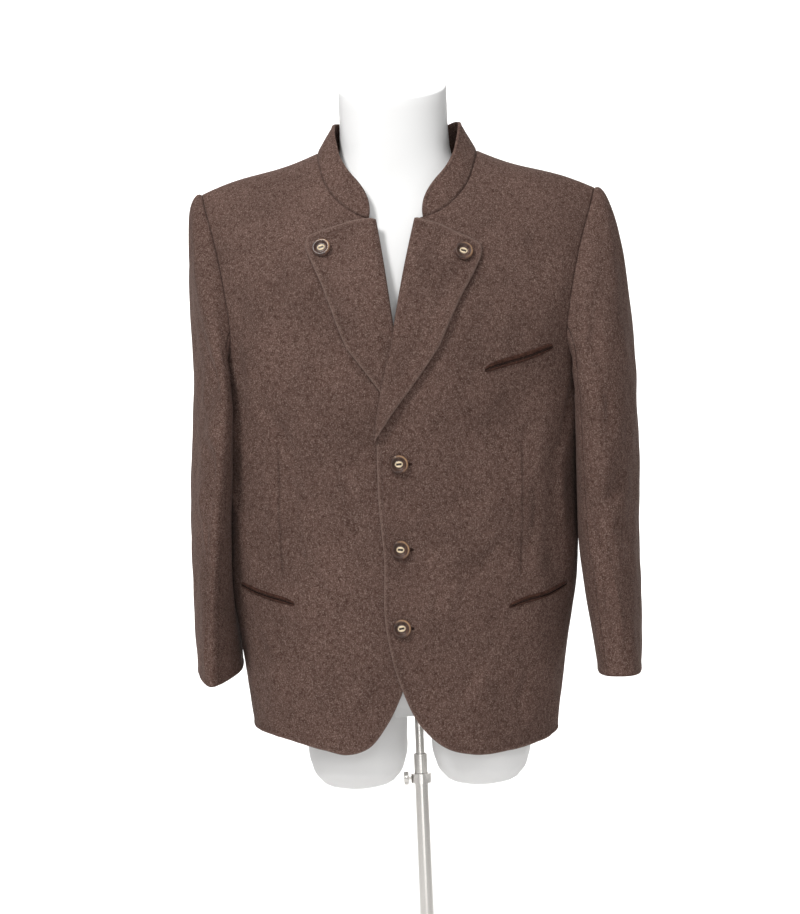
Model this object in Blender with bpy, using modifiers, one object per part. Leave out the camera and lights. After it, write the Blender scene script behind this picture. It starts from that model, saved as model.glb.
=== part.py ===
"""Tyrolean loden jacket on a limbless dress form with a telescoping stand.

Metres, +Z up. The jacket faces -Y and its wearer's left is +X. The origin is the middle of the
base's underside. The jacket is drawn about its own middle plane, which stands at x = JACKET_X.

Cloth panels are charted: u runs round the body from the centre line, v runs up it, and body()
turns a charted point into a place. Panels, lapels, pockets and buttons are all laid out on it.
"""

import math

import bpy
import numpy as np
from mathutils import Matrix, Vector
from mathutils.geometry import delaunay_2d_cdt

# ---------- whole object ----------
JACKET_X = -0.030          # the jacket's middle plane
POLE_LEAN = math.radians(-1.5)   # form and pole lean together, about Y

# ---------- cloth ----------
CLOTH = 0.0020             # wall of one panel
LAPEL_CLOTH = 0.0020
COLLAR_CLOTH = 0.0030      # two layers and stiffening
PIPING_CLOTH = 0.0015
SEAM_GAP = 0.0003
LAY_GAP = 0.0012           # between a panel and what lies on it
PANEL_STEP = 0.030         # mesh spacing
EDGE_STEP = 0.021          # and along a panel's rim
CURVE_STEP = 0.014         # and along neck and armholes

# ---------- body of the jacket: one row for each level ----------
# z, half width, depth in front, depth behind
BODY_ROWS = (
    (0.485, 0.1865, 0.116, 0.142),
    (0.530, 0.1900, 0.118, 0.144),
    (0.570, 0.1955, 0.120, 0.142),
    (0.610, 0.2010, 0.122, 0.138),
    (0.656, 0.2080, 0.123, 0.131),
    (0.705, 0.2170, 0.124, 0.124),
    (0.760, 0.2210, 0.125, 0.118),
    (0.850, 0.2225, 0.128, 0.116),
    (0.930, 0.2280, 0.133, 0.122),
    (0.985, 0.2345, 0.1348, 0.1248),
    (1.000, 0.2350, 0.1350, 0.1250),
)
ROUNDNESS = 2.3            # of every level section
MEAN_SECTION = (0.2225, 0.128)   # the section that u is measured on
CHEST_Z = 1.000            # above it the cloth turns in over the shoulders
SHOULDER_RISE = 0.260      # v from the chest level to the shoulder seam
SHOULDER_FLARE = 0.12      # how much wider the columns stand at the shoulder seam
FRONT_HOLLOW = 0.35        # how much the front falls away under the collar bone
BACK_HOLLOW = 0.05
RIDGE_TOP_Z = 1.287        # where the two shoulder seams would meet over the neck
RIDGE_SLOPE = 0.337
RIDGE_HOLLOW = 0.0025      # dip near the neck and rise near the shoulder end
NECK_X = 0.100             # shoulder seam's inner end
SHOULDER_X = 0.2505        # and its outer end

# ---------- panel outlines, x across from the middle plane and z up ----------
NECK_ROWS = ((0.0330, 1.1610), (0.0510, 1.1685), (0.0712, 1.1840), (0.0865, 1.2045), (0.0965, 1.2330))
BACK_NECK_ROWS = ((0.0000, 1.2465), (0.0400, 1.2465), (0.0720, 1.2495))
ARMHOLE_ROWS = ((0.2425, 1.1760), (0.2335, 1.1460), (0.2220, 1.0990), (0.2145, 1.0570), (0.2100, 1.0150))
BACK_ARMHOLE_ROWS = ((0.2440, 1.1720), (0.2340, 1.1350), (0.2250, 1.0900), (0.2190, 1.0500), (0.2160, 1.0180))
ARMPIT_Z = 0.962
ARMPIT_BEND = (0.036, 0.0115)     # point of the armhole before the armpit: short of the seam, above it
BACK_HEM_Z = 0.5200

# ---------- the two fronts: fold line and lapel of each, x positive to its own side ----------
FRONTS = {
    "left": {               # laps over
        "sign": 1,
        "fold": ((-0.0270, 0.884), (-0.0240, 0.915), (-0.0190, 0.942), (0.0252, 1.158)),
        "edge": ((-0.0260, 0.810), (-0.0205, 0.740), (-0.0195, 0.655), (-0.0030, 0.585), (0.0220, 0.533),
                 (0.0520, 0.506), (0.0850, 0.4968), (0.1350, 0.5005)),
        "side_hem": 0.5210,
        "lapel_top": ((0.0350, 1.1540), (0.0555, 1.1480), (0.0746, 1.1385), (0.0945, 1.1305)),
        "lapel_tip": ((0.1040, 1.1240), (0.1045, 1.1130), (0.0985, 1.0970)),
        "lapel_outer": ((0.0780, 1.0580), (0.0515, 1.0000), (0.0203, 0.9546), (-0.0097, 0.9140)),
        "button": (0.0820, 1.1150),
    },
    "right": {              # laps under
        "sign": -1,
        "fold": ((-0.0215, 0.884), (0.0270, 1.1575)),
        "edge": ((-0.0210, 0.810), (-0.0205, 0.740), (-0.0195, 0.655), (-0.0030, 0.585), (0.0215, 0.533),
                 (0.0430, 0.507), (0.0690, 0.4985), (0.1000, 0.5045), (0.1500, 0.5165)),
        "side_hem": 0.5290,
        "lapel_top": ((0.0400, 1.1580), (0.0600, 1.1545), (0.0800, 1.1485), (0.0985, 1.1430)),
        "lapel_tip": ((0.1085, 1.1370), (0.1110, 1.1250), (0.1050, 1.1090)),
        "lapel_outer": ((0.0890, 1.0710), (0.0655, 1.0080), (0.0420, 0.9730), (0.0178, 0.9400)),
        "button": (0.0910, 1.1220),
    },
}
FOLD_OVERHANG = 0.0020     # the lapel's fold stands past the front's own edge
LAP_LOW = 0.0036           # the left front's lift where it passes over the right front
LAP_HIGH = 0.0068          # and where it passes over the right lapel too
LAP_CHANGE = (0.800, 0.885)      # levels where the first becomes the second
LAP_END = (1.020, 1.140)         # levels where the lift runs out
LAP_IN = 0.035             # the lift is whole as far out as this
LAP_OUT = 0.100            # and gone by here

# ---------- collar ----------
COLLAR_LIFT = 0.0053       # the band's middle surface above the body's inner face, at the seam
COLLAR_HEIGHT = 0.0415
COLLAR_END_ROUND = 0.034   # length of the round front end
COLLAR_END_POWER = 2.4
COLLAR_LEAN_FRONT = 0.45   # inwards for each metre up
COLLAR_LEAN_SIDE = 0.60
COLLAR_LEAN_BACK = 0.28
NECK_AXIS_Y = -0.012
COLLAR_COLUMNS = 21        # from a front end to the centre back
COLLAR_LEVELS = 5

# ---------- sleeves: z, centre x, centre y, half width, half depth, turn in degrees, drop in front,
# how much narrower the front is than the back, and the section's squareness (2 is an ellipse) ----------
SLEEVES = {
    "left": (
        (0.930, 0.2585, -0.012, 0.0390, 0.082, 12, 0.000, 0.00, 2.00),
        (0.850, 0.2600, -0.016, 0.0375, 0.079, 12, 0.000, 0.05, 2.00),
        (0.770, 0.2590, -0.022, 0.0365, 0.075, 10, 0.000, 0.10, 2.10),
        (0.700, 0.2640, -0.028, 0.0335, 0.071, 8, 0.000, 0.10, 2.30),
        (0.630, 0.2690, -0.036, 0.0280, 0.066, 5, 0.001, 0.04, 2.60),
        (0.592, 0.2710, -0.039, 0.0250, 0.063, 3, 0.002, 0.00, 2.70),
    ),
    "right": (
        (0.930, 0.2385, -0.010, 0.0220, 0.089, 14, 0.000, 0.10, 2.00),
        (0.850, 0.2385, -0.014, 0.0255, 0.086, 10, 0.000, 0.22, 2.00),
        (0.770, 0.2380, -0.018, 0.0280, 0.081, 5, 0.001, 0.40, 2.00),
        (0.700, 0.2368, -0.023, 0.0278, 0.075, 1, 0.004, 0.52, 2.05),
        (0.630, 0.2358, -0.030, 0.0258, 0.067, -2, 0.009, 0.54, 2.10),
        (0.595, 0.2350, -0.032, 0.0245, 0.063, -3, 0.012, 0.50, 2.10),
    ),
}
SLEEVE_CLEARANCE = 0.0066  # from the body's outer face to the sleeve's inner face, past its wall
SLEEVE_LIFT = 0.0028       # the sleeve's seam edge, above the body's inner face
SLEEVE_UNDER_LIFT = 0.0027 # more of it under the arm, where the wall lies between sleeve and body
SLEEVE_OUT = 0.0008        # and out from the armhole
SLEEVE_SEAMS = (0.325, 0.790)    # forearm and hindarm seams, in turns from the shoulder round the front
SLEEVE_GIRTH = 0.13        # least length of one turn's worth of sleeve along its seams
CAP_SIDE_WAY = np.array((0.45, 0.0, -0.75))      # how the sleeve leaves the armhole at its sides
CAP_TOP_WAY = np.array((0.99, 0.0, -0.12))       # over the shoulder
CAP_UNDER_WAY = np.array((0.10, 0.0, -1.0))      # and under the arm
CAP_FRONT_WAY = np.array((0.0, -0.50, 0.0))      # added towards the front, taken off behind
CAP_KEEP_SIDE = 0.33       # share of the way to the arm's first ring for which it keeps that course
CAP_KEEP_TOP = 0.12
CAP_KEEP_END = 0.35
CAP_LEVELS = 8
ARM_LEVELS = 8
ARM_STEPS = 24

# ---------- pockets: the slit's two ends (x, z), heights of the pipings above and below it ----------
POCKETS = {
    "chest_piping": (1, (0.1060, 0.9700), (0.1900, 0.9980), 0.0068, 0.0038),
    "hip_piping_left": (1, (0.1310, 0.6785), (0.2030, 0.7035), 0.0046, 0.0032),
    "hip_piping_right": (-1, (0.1320, 0.6850), (0.2010, 0.7080), 0.0046, 0.0032),
}
PIPING_END = 0.0012        # height left at the pointed ends
PIPING_STEPS = 10

# ---------- buttons ----------
BUTTON_RADIUS = 0.0117
BUTTON_THICKNESS = 0.0046
BUTTON_GAP = 0.0008
FRONT_BUTTONS_Z = (0.8567, 0.7516, 0.6550)

# ---------- dress form, upright about the pole: z, half width, depth in front, depth behind ----------
FORM_ROWS = (
    (0.545, 0.128, 0.060, 0.072),
    (0.575, 0.152, 0.078, 0.094),
    (0.640, 0.168, 0.090, 0.112),
    (0.700, 0.172, 0.094, 0.110),
    (0.800, 0.163, 0.093, 0.094),
    (0.900, 0.168, 0.100, 0.092),
    (1.000, 0.180, 0.108, 0.098),
    (1.070, 0.186, 0.106, 0.098),
    (1.120, 0.184, 0.094, 0.092),
    (1.155, 0.170, 0.080, 0.082),
    (1.180, 0.145, 0.068, 0.070),
    (1.200, 0.116, 0.060, 0.060),
    (1.220, 0.090, 0.056, 0.053),
    (1.245, 0.0735, 0.054, 0.045),
    (1.280, 0.0690, 0.053, 0.042),
)
FORM_CENTRE_Y = -0.006
FORM_ROUNDNESS = 2.15
NECK_TOP_Z = 1.3375
NECK_TOP_SLOPE = 0.45      # the flat neck cut falls to the front
LOBE_X = 0.0785
# z, half width, half depth of each rounded lower end
LOBE_ROWS = ((0.4480, 0.020, 0.028), (0.4520, 0.036, 0.050), (0.4620, 0.050, 0.069), (0.4820, 0.0600, 0.081),
             (0.5200, 0.0635, 0.086), (0.6000, 0.0640, 0.087))
FORM_STEPS = 40

# ---------- stand, along the pole ----------
INNER_RADIUS = 0.0055
OUTER_RADIUS = 0.0085
TUBE_WALL = 0.0015
INNER_FOOT_Z = 0.110
SOCKET_DEPTH = 0.055       # the inner tube's stretch inside the form
SOCKET_GAP = 0.0005
CROTCH_Z = 0.545
OUTER_TOP_Z = 0.486
CLAMP_Z = 0.455
CLAMP_HEIGHT = 0.012
CLAMP_RADIUS = 0.0130
SCREW_RADIUS = 0.0020
SCREW_HOLE_RADIUS = 0.0025
KNOB_RADIUS = 0.0085
KNOB_THICKNESS = 0.0060
BASE_RADIUS = 0.150
BASE_THICKNESS = 0.010
HUB_RADIUS = 0.019
HUB_TOP_Z = 0.034
ROUND_STEPS = 40

# ---------- finishes: red, green, blue, roughness, metallic ----------
FINISHES = {
    "loden": (0.075, 0.052, 0.042, 0.95, 0.0),
    "piping": (0.030, 0.015, 0.011, 0.85, 0.0),
    "horn": (0.130, 0.080, 0.050, 0.45, 0.0),
    "form": (0.800, 0.800, 0.790, 0.50, 0.0),
    "steel": (0.620, 0.600, 0.580, 0.30, 1.0),
    "base": (0.620, 0.600, 0.580, 0.40, 1.0),
}


# ================= curves =================

def through(rows, value):
    """Smooth curves through a table's columns, read at value of its first column."""
    rows = np.asarray(rows, float)
    keys = rows[:, 0]
    values = rows[:, 1:]
    slopes = np.gradient(values, keys, axis=0)
    value = np.clip(np.asarray(value, float), keys[0], keys[-1])
    i = np.clip(np.searchsorted(keys, value) - 1, 0, len(keys) - 2)
    span = (keys[i + 1] - keys[i])[..., None]
    t = (value - keys[i])[..., None] / span
    low = values[i] * (1 + 2 * t) * (1 - t) ** 2 + slopes[i] * span * t * (1 - t) ** 2
    high = values[i + 1] * t * t * (3 - 2 * t) + slopes[i + 1] * span * t * t * (t - 1)
    return np.moveaxis(low + high, -1, 0)


def smooth_line(points, step):
    """Points about a step apart along a smooth curve through the given ones."""
    points = np.asarray(points, float)
    along = np.concatenate([[0], np.cumsum(np.linalg.norm(np.diff(points, axis=0), axis=1))])
    rows = np.column_stack([along, points])
    dense = np.stack(through(rows, np.linspace(0, along[-1], 40 * len(points))), axis=1)
    run = np.concatenate([[0], np.cumsum(np.linalg.norm(np.diff(dense, axis=0), axis=1))])
    count = max(2, round(run[-1] / step) + 1)
    even = np.linspace(0, run[-1], count)
    return np.stack([np.interp(even, run, dense[:, k]) for k in range(points.shape[1])], axis=1)


def ease(low, high, value):
    """0 below low, 1 above high, smooth between."""
    t = np.clip((value - low) / (high - low), 0, 1)
    return t * t * (3 - 2 * t)


# ================= body surface =================

def section_table():
    """Angles of the mean section and the share of its quarter girth that each has reached."""
    angles = np.linspace(0, math.pi / 2, 721)
    x = MEAN_SECTION[0] * np.sin(angles) ** (2 / ROUNDNESS)
    y = MEAN_SECTION[1] * np.cos(angles) ** (2 / ROUNDNESS)
    run = np.concatenate([[0], np.cumsum(np.hypot(np.diff(x), np.diff(y)))])
    return angles, run


ANGLES, GIRTH = section_table()
SIDE_U = GIRTH[-1]         # u of the side seam
TOP_V = CHEST_Z + SHOULDER_RISE


def ridge(x):
    """Height of the shoulder line at x."""
    share = (np.abs(x) - NECK_X) / (SHOULDER_X - NECK_X)
    dip = RIDGE_HOLLOW * np.sin(2 * math.pi * np.clip(share, 0, 1))
    return RIDGE_TOP_Z - RIDGE_SLOPE * np.abs(x) - dip


def body(u, v, behind=False):
    """Place of the charted point u, v on the jacket's inner face, in front or behind."""
    u = np.asarray(u, float)
    v = np.asarray(v, float)
    angle = np.interp(np.abs(u), GIRTH, ANGLES)
    across = np.sign(u) * np.sin(angle) ** (2 / ROUNDNESS)
    deep = np.clip(np.cos(angle), 0, 1) ** (2 / ROUNDNESS)
    low = np.minimum(v, CHEST_Z)
    half, front, rear = through(BODY_ROWS, low)
    turn = np.clip((v - CHEST_Z) / SHOULDER_RISE, 0, 1) * math.pi / 2
    lift = np.sin(turn)
    x = half * across * (1 + SHOULDER_FLARE * lift)
    hollow = BACK_HOLLOW if behind else FRONT_HOLLOW
    depth = (rear if behind else -front) * deep * np.cos(turn) * (1 - hollow * lift ** 2)
    z = low + (ridge(x) - CHEST_Z) * lift
    return np.stack(np.broadcast_arrays(x, depth, z), axis=-1)


def chart(x, z):
    """u and v of the body point at x and z."""
    x = np.asarray(x, float)
    z = np.asarray(z, float)
    lift = np.clip((z - CHEST_Z) / (ridge(x) - CHEST_Z), 0, 1)
    v = np.where(z < CHEST_Z, z, CHEST_Z + SHOULDER_RISE * np.arcsin(lift) / (math.pi / 2))
    half = through(BODY_ROWS, np.minimum(z, CHEST_Z))[0]
    across = np.clip(np.abs(x) / (half * (1 + SHOULDER_FLARE * lift)), 0, 1)
    u = np.sign(x) * np.interp(np.arcsin(across ** (ROUNDNESS / 2)), ANGLES, GIRTH)
    return np.stack(np.broadcast_arrays(u, v), axis=-1)


def charted(rows):
    """Chart points of rows of x and z."""
    rows = np.asarray(rows, float)
    return chart(rows[:, 0], rows[:, 1])


def outward(u, v, behind=False):
    """Unit normal of the body surface, pointing out of the jacket."""
    step = 2e-4
    u = np.asarray(u, float)
    v = np.asarray(v, float)
    along = body(u + step, v, behind) - body(u - step, v, behind)
    up = body(u, v + step, behind) - body(u, v - step, behind)
    normal = np.cross(along, up)
    normal /= np.linalg.norm(normal, axis=-1, keepdims=True)
    return -normal if behind else normal


def raised(u, v, height, behind=False):
    """Body point moved out by height."""
    return body(u, v, behind) + outward(u, v, behind) * np.asarray(height)[..., None]


def lap_lift(side, u, v):
    """How far a front is lifted off the body surface: the left one passes over the right one."""
    if side != "left":
        return np.zeros(np.broadcast(u, v).shape)
    full = LAP_LOW + (LAP_HIGH - LAP_LOW) * ease(*LAP_CHANGE, v) - LAP_HIGH * ease(*LAP_END, v)
    return full * (1 - ease(LAP_IN, LAP_OUT, np.asarray(u)))


# ================= objects =================

def material(name):
    """Principled material of a named finish."""
    found = bpy.data.materials.get(name)
    if found:
        return found
    red, green, blue, roughness, metallic = FINISHES[name]
    made = bpy.data.materials.new(name)
    made.use_nodes = True
    shader = made.node_tree.nodes["Principled BSDF"]
    shader.inputs["Base Color"].default_value = (red, green, blue, 1)
    shader.inputs["Roughness"].default_value = roughness
    shader.inputs["Metallic"].default_value = metallic
    return made


def add_object(name, mesh, finish, x=0.0, parent=None, cutter=False):
    """Put a mesh in the scene as one named piece."""
    piece = bpy.data.objects.new(name, mesh)
    piece.location.x = x
    piece.parent = parent
    collection = "cutters" if cutter else "tyrolean_jacket"
    bpy.data.collections[collection].objects.link(piece)
    if cutter:
        piece.hide_render = True
        piece.display_type = "WIRE"
    else:
        mesh.materials.append(material(finish))
    return piece


def wall(piece, thickness, offset):
    """Give an open surface its thickness."""
    solidify = piece.modifiers.new("wall", "SOLIDIFY")
    solidify.thickness = thickness
    solidify.offset = offset


def mesh_of(name, points, faces, flip=False):
    """Mesh of points and faces, smooth, its faces turned round where flip is set."""
    if flip:
        faces = [tuple(reversed(face)) for face in faces]
    mesh = bpy.data.meshes.new(name)
    mesh.from_pydata([tuple(p) for p in np.asarray(points, float)], [], faces)
    mesh.validate()
    mesh.shade_smooth()
    return mesh


def grid_faces(rows, columns, closed=False):
    """Faces of a grid of points; closed joins the last column to the first."""
    faces = []
    for i in range(rows - 1):
        for j in range(columns if closed else columns - 1):
            k = (j + 1) % columns
            faces.append((i * columns + j, i * columns + k, (i + 1) * columns + k, (i + 1) * columns + j))
    return faces


def inside(points, outline, margin):
    """Which points lie inside a closed outline and at least margin from it."""
    start = outline
    end = np.roll(outline, -1, axis=0)
    span = end - start
    rel = points[:, None, :] - start[None]
    t = np.clip((rel * span).sum(-1) / np.maximum((span ** 2).sum(-1), 1e-12), 0, 1)
    gap = np.linalg.norm(rel - t[..., None] * span, axis=-1).min(axis=1)
    above = (start[None, :, 1] > points[:, None, 1]) != (end[None, :, 1] > points[:, None, 1])
    rise = np.where(np.abs(span[:, 1]) < 1e-12, 1e-12, span[:, 1])
    cross = start[None, :, 0] + (points[:, None, 1] - start[None, :, 1]) * (span[:, 0] / rise)[None]
    odd = (above & (points[:, None, 0] < cross)).sum(axis=1) % 2 == 1
    return odd & (gap > margin)


def fill_outline(outline, step):
    """Chart points and triangles that fill a closed outline evenly."""
    low = outline.min(axis=0)
    high = outline.max(axis=0)
    rows = np.arange(low[1], high[1], step * math.sqrt(3) / 2)
    lattice = []
    for i, v in enumerate(rows):
        us = np.arange(low[0] + step / 2 * (i % 2), high[0], step)
        lattice.append(np.column_stack([us, np.full(len(us), v)]))
    lattice = np.concatenate(lattice)
    lattice = lattice[inside(lattice, outline, 0.45 * step)]
    points = np.concatenate([outline, lattice])
    n = len(outline)
    edges = [(i, (i + 1) % n) for i in range(n)]
    made = delaunay_2d_cdt([Vector(p) for p in points], edges, [], 1, 1e-7)
    return np.array([tuple(p) for p in made[0]]), [tuple(face) for face in made[2]]


# ================= fronts and backs =================

def armhole(behind):
    """Chart points of the armhole, from the shoulder seam down to the armpit."""
    rows = BACK_ARMHOLE_ROWS if behind else ARMHOLE_ROWS
    top = chart(SHOULDER_X, ridge(SHOULDER_X))
    bend = (SIDE_U - ARMPIT_BEND[0], ARMPIT_Z + ARMPIT_BEND[1])
    return np.vstack([top, charted(rows), bend, (SIDE_U, ARMPIT_Z)])


def neckline(behind):
    """Chart points of the neck seam, from the middle up to the shoulder seam."""
    rows = BACK_NECK_ROWS if behind else NECK_ROWS
    return np.vstack([charted(rows), chart(NECK_X, ridge(NECK_X))])


def trimmed(outline, middle=None):
    """Outline drawn back from the seams it shares with other panels."""
    outline = outline.copy()
    outline[:, 0] = np.minimum(outline[:, 0], SIDE_U - SEAM_GAP / 2)
    near = 0.001
    pace = np.linalg.norm(body(outline[:, 0], TOP_V) - body(outline[:, 0], TOP_V - near), axis=1) / near
    outline[:, 1] = np.minimum(outline[:, 1], TOP_V - SEAM_GAP / 2 / pace)
    if middle is not None:
        outline[:, 0] = np.maximum(outline[:, 0], middle)
    return outline


def front_outline(side, step, curve_step):
    """Closed chart outline of a front."""
    spec = FRONTS[side]
    fold = charted(spec["fold"])
    side_hem = (SIDE_U, spec["side_hem"])
    edge = np.vstack([fold[0], charted(spec["edge"]), side_hem])
    neck = np.vstack([fold[-1], neckline(False)])
    arm = armhole(False)
    parts = (
        smooth_line(edge, step)[:-1],
        smooth_line([side_hem, (SIDE_U, ARMPIT_Z)], step)[:-1],
        smooth_line(arm[::-1], curve_step)[:-1],
        smooth_line([arm[0], neck[-1]], step)[:-1],
        smooth_line(neck[::-1], curve_step)[:-1],
        smooth_line(fold[::-1], step)[:-1],
    )
    return trimmed(np.concatenate(parts))


def back_outline(side, step, curve_step):
    """Closed chart outline of one back half."""
    arm = armhole(True)
    neck = neckline(True)
    side_hem = (SIDE_U, FRONTS[side]["side_hem"])
    hem = [(0, BACK_HEM_Z), (SIDE_U / 2, BACK_HEM_Z + 0.001), side_hem]
    parts = (
        smooth_line(hem, step)[:-1],
        smooth_line([side_hem, (SIDE_U, ARMPIT_Z)], step)[:-1],
        smooth_line(arm[::-1], curve_step)[:-1],
        smooth_line([arm[0], neck[-1]], step)[:-1],
        smooth_line(neck[::-1], curve_step)[:-1],
        smooth_line([neck[0], (0, BACK_HEM_Z)], step)[:-1],
    )
    return trimmed(np.concatenate(parts), SEAM_GAP / 2)


def add_front(side):
    """One front: its outline filled, laid on the body surface and given its wall."""
    sign = FRONTS[side]["sign"]
    chart_points, faces = fill_outline(front_outline(side, EDGE_STEP, CURVE_STEP), PANEL_STEP)
    u, v = chart_points.T
    points = raised(u, v, lap_lift(side, u, v))
    points[:, 0] *= sign
    mesh = mesh_of("front_" + side, points, faces, flip=sign < 0)
    wall(add_object("front_" + side, mesh, "loden", JACKET_X), CLOTH, 1)


def add_back(side):
    """One half of the back."""
    sign = FRONTS[side]["sign"]
    chart_points, faces = fill_outline(back_outline(side, EDGE_STEP, CURVE_STEP), PANEL_STEP)
    points = body(*chart_points.T, behind=True)
    points[:, 0] *= sign
    mesh = mesh_of("back_" + side, points, faces, flip=sign > 0)
    wall(add_object("back_" + side, mesh, "loden", JACKET_X), CLOTH, 1)


# ================= lapels =================

def lapel_outline(side, step):
    """Closed chart outline of a lapel."""
    spec = FRONTS[side]
    fold = charted(spec["fold"])
    fold[:, 0] -= FOLD_OVERHANG
    rim = np.vstack([charted(spec["lapel_top"] + spec["lapel_tip"] + spec["lapel_outer"]), fold[0]])
    parts = (
        smooth_line(fold, step)[:-1],
        smooth_line([fold[-1], rim[0]], step)[:-1],
        smooth_line(rim, step)[:-1],
    )
    return np.concatenate(parts)[::-1]


def lapel_height(side, u, v):
    """Height of a lapel's middle surface over the body's inner face."""
    return lap_lift(side, u, v) + CLOTH + LAY_GAP + LAPEL_CLOTH / 2


def add_lapel(side):
    """One lapel, lying on its front."""
    sign = FRONTS[side]["sign"]
    chart_points, faces = fill_outline(lapel_outline(side, CURVE_STEP), EDGE_STEP)
    u, v = chart_points.T
    points = raised(u, v, lapel_height(side, u, v))
    points[:, 0] *= sign
    mesh = mesh_of("lapel_" + side, points, faces, flip=sign < 0)
    wall(add_object("lapel_" + side, mesh, "loden", JACKET_X), LAPEL_CLOTH, 0)


# ================= collar =================

def collar_base(columns):
    """Places along the neck seam from the left front end to the centre back."""
    lift = COLLAR_LIFT
    front = smooth_line(neckline(False), 0.002)
    rear = smooth_line(neckline(True)[::-1], 0.002)
    places = np.concatenate([
        raised(*front.T, np.full(len(front), lift)),
        raised(*rear.T, np.full(len(rear), lift), behind=True)[1:],
    ])
    places[-1, 0] = 0
    return smooth_line(places, np.linalg.norm(np.diff(places, axis=0), axis=1).sum() / (columns - 1))


def collar_half(columns, levels):
    """Grid of places of the collar's left half, from the front end to the centre back."""
    base = collar_base(columns)
    run = np.concatenate([[0], np.cumsum(np.linalg.norm(np.diff(base, axis=0), axis=1))])
    share = np.clip(1 - run / COLLAR_END_ROUND, 0, 1)
    height = COLLAR_HEIGHT * np.maximum(1 - share ** COLLAR_END_POWER, 0.012) ** (1 / COLLAR_END_POWER)
    to_axis = np.column_stack([-base[:, 0], NECK_AXIS_Y - base[:, 1]])
    to_axis /= np.linalg.norm(to_axis, axis=1, keepdims=True)
    facing = to_axis[:, 1]         # 1 at the front, 0 at the side, -1 behind
    lean = COLLAR_LEAN_SIDE + (COLLAR_LEAN_FRONT - COLLAR_LEAN_SIDE) * np.clip(facing, 0, 1) ** 2
    lean = lean + (COLLAR_LEAN_BACK - COLLAR_LEAN_SIDE) * np.clip(-facing, 0, 1) ** 2
    direction = np.column_stack([to_axis * lean[:, None], np.ones(len(base))])
    direction /= np.linalg.norm(direction, axis=1, keepdims=True)
    share_up = np.linspace(0, 1, levels)[:, None, None]
    return base[None] + direction[None] * height[None, :, None] * share_up


def add_collar():
    """The stand collar, one band from front end to front end."""
    half = collar_half(COLLAR_COLUMNS, COLLAR_LEVELS)
    other = half[:, ::-1][:, 1:] * (-1, 1, 1)
    grid = np.concatenate([half, other], axis=1)
    faces = grid_faces(COLLAR_LEVELS, grid.shape[1])
    mesh = mesh_of("collar", grid.reshape(-1, 3), faces, flip=False)
    wall(add_object("collar", mesh, "loden", JACKET_X), COLLAR_CLOTH, 0)


# ================= sleeves =================

def armhole_ring(turns):
    """Places of the sleeve's seam edge, by turns from the shoulder round the front and under the arm."""
    lines = []
    for behind in (False, True):
        line = smooth_line(armhole(behind), 0.002)
        # the sleeve stands a little outside the armhole: outward in the chart, and lifted
        slope = np.gradient(line, axis=0)
        away = np.column_stack([-slope[:, 1], slope[:, 0]])
        away /= np.linalg.norm(away, axis=1, keepdims=True)
        moved = line + away * SLEEVE_OUT
        edge = np.stack([np.minimum(moved[:, 0], SIDE_U), np.minimum(moved[:, 1], TOP_V)], axis=1)
        run = np.concatenate([[0], np.cumsum(np.linalg.norm(np.diff(edge, axis=0), axis=1))])
        under = np.clip(-np.cos(math.pi * run / run[-1]), 0, 1) ** 0.5
        places = raised(*edge.T, SLEEVE_LIFT + SLEEVE_UNDER_LIFT * under, behind)
        run = np.concatenate([[0], np.cumsum(np.linalg.norm(np.diff(places, axis=0), axis=1))])
        lines.append((run / run[-1] / 2, places))
    turns = np.mod(turns, 1)
    front = np.stack([np.interp(turns, lines[0][0], lines[0][1][:, k]) for k in range(3)], axis=-1)
    rear = np.stack([np.interp(1 - turns, lines[1][0], lines[1][1][:, k]) for k in range(3)], axis=-1)
    return np.where((turns <= 0.5)[:, None], front, rear)


def body_side_x(y, z):
    """x of the body's outer face at y and z."""
    half, front, rear = through(BODY_ROWS, z)
    share = np.clip(np.abs(y) / np.where(y < 0, front, rear), 0, 1)
    return half * (1 - share ** ROUNDNESS) ** (1 / ROUNDNESS) + CLOTH


def arm_ring(side, turns, z):
    """Places of the sleeve tube's ring at z, pressed aside where the body is."""
    x0, y0, half, deep, turn, drop, wedge, power = through(SLEEVES[side][::-1], np.full(len(turns), z))
    angle = 2 * math.pi * turns
    turn = np.radians(turn)
    cos, sin = np.cos(angle), np.sin(angle)
    across = half * np.sign(cos) * np.abs(cos) ** (2 / power) * (1 - wedge * sin)
    along = -deep * np.sign(sin) * np.abs(sin) ** (2 / power)
    x = x0 + across * np.cos(turn) + along * np.sin(turn)
    y = y0 - across * np.sin(turn) + along * np.cos(turn)
    level = z - drop * np.sin(angle)
    least = body_side_x(y, level) + SLEEVE_CLEARANCE
    x = (x + least + np.sqrt((x - least) ** 2 + 0.004 ** 2)) / 2
    return np.stack([x, y, level], axis=-1)


def cap_start(turns):
    """Unit directions in which the sleeve leaves the armhole, and how far it keeps them."""
    angle = 2 * math.pi * turns
    top = np.clip(np.cos(angle), 0, 1)[:, None] ** 2
    under = np.clip(-np.cos(angle), 0, 1)[:, None] ** 2
    way = CAP_SIDE_WAY + top * (CAP_TOP_WAY - CAP_SIDE_WAY) + under * (CAP_UNDER_WAY - CAP_SIDE_WAY)
    way = way + np.sin(angle)[:, None] * CAP_FRONT_WAY
    way /= np.linalg.norm(way, axis=1, keepdims=True)
    return way, CAP_KEEP_SIDE + top[:, 0] * (CAP_KEEP_TOP - CAP_KEEP_SIDE)


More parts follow.
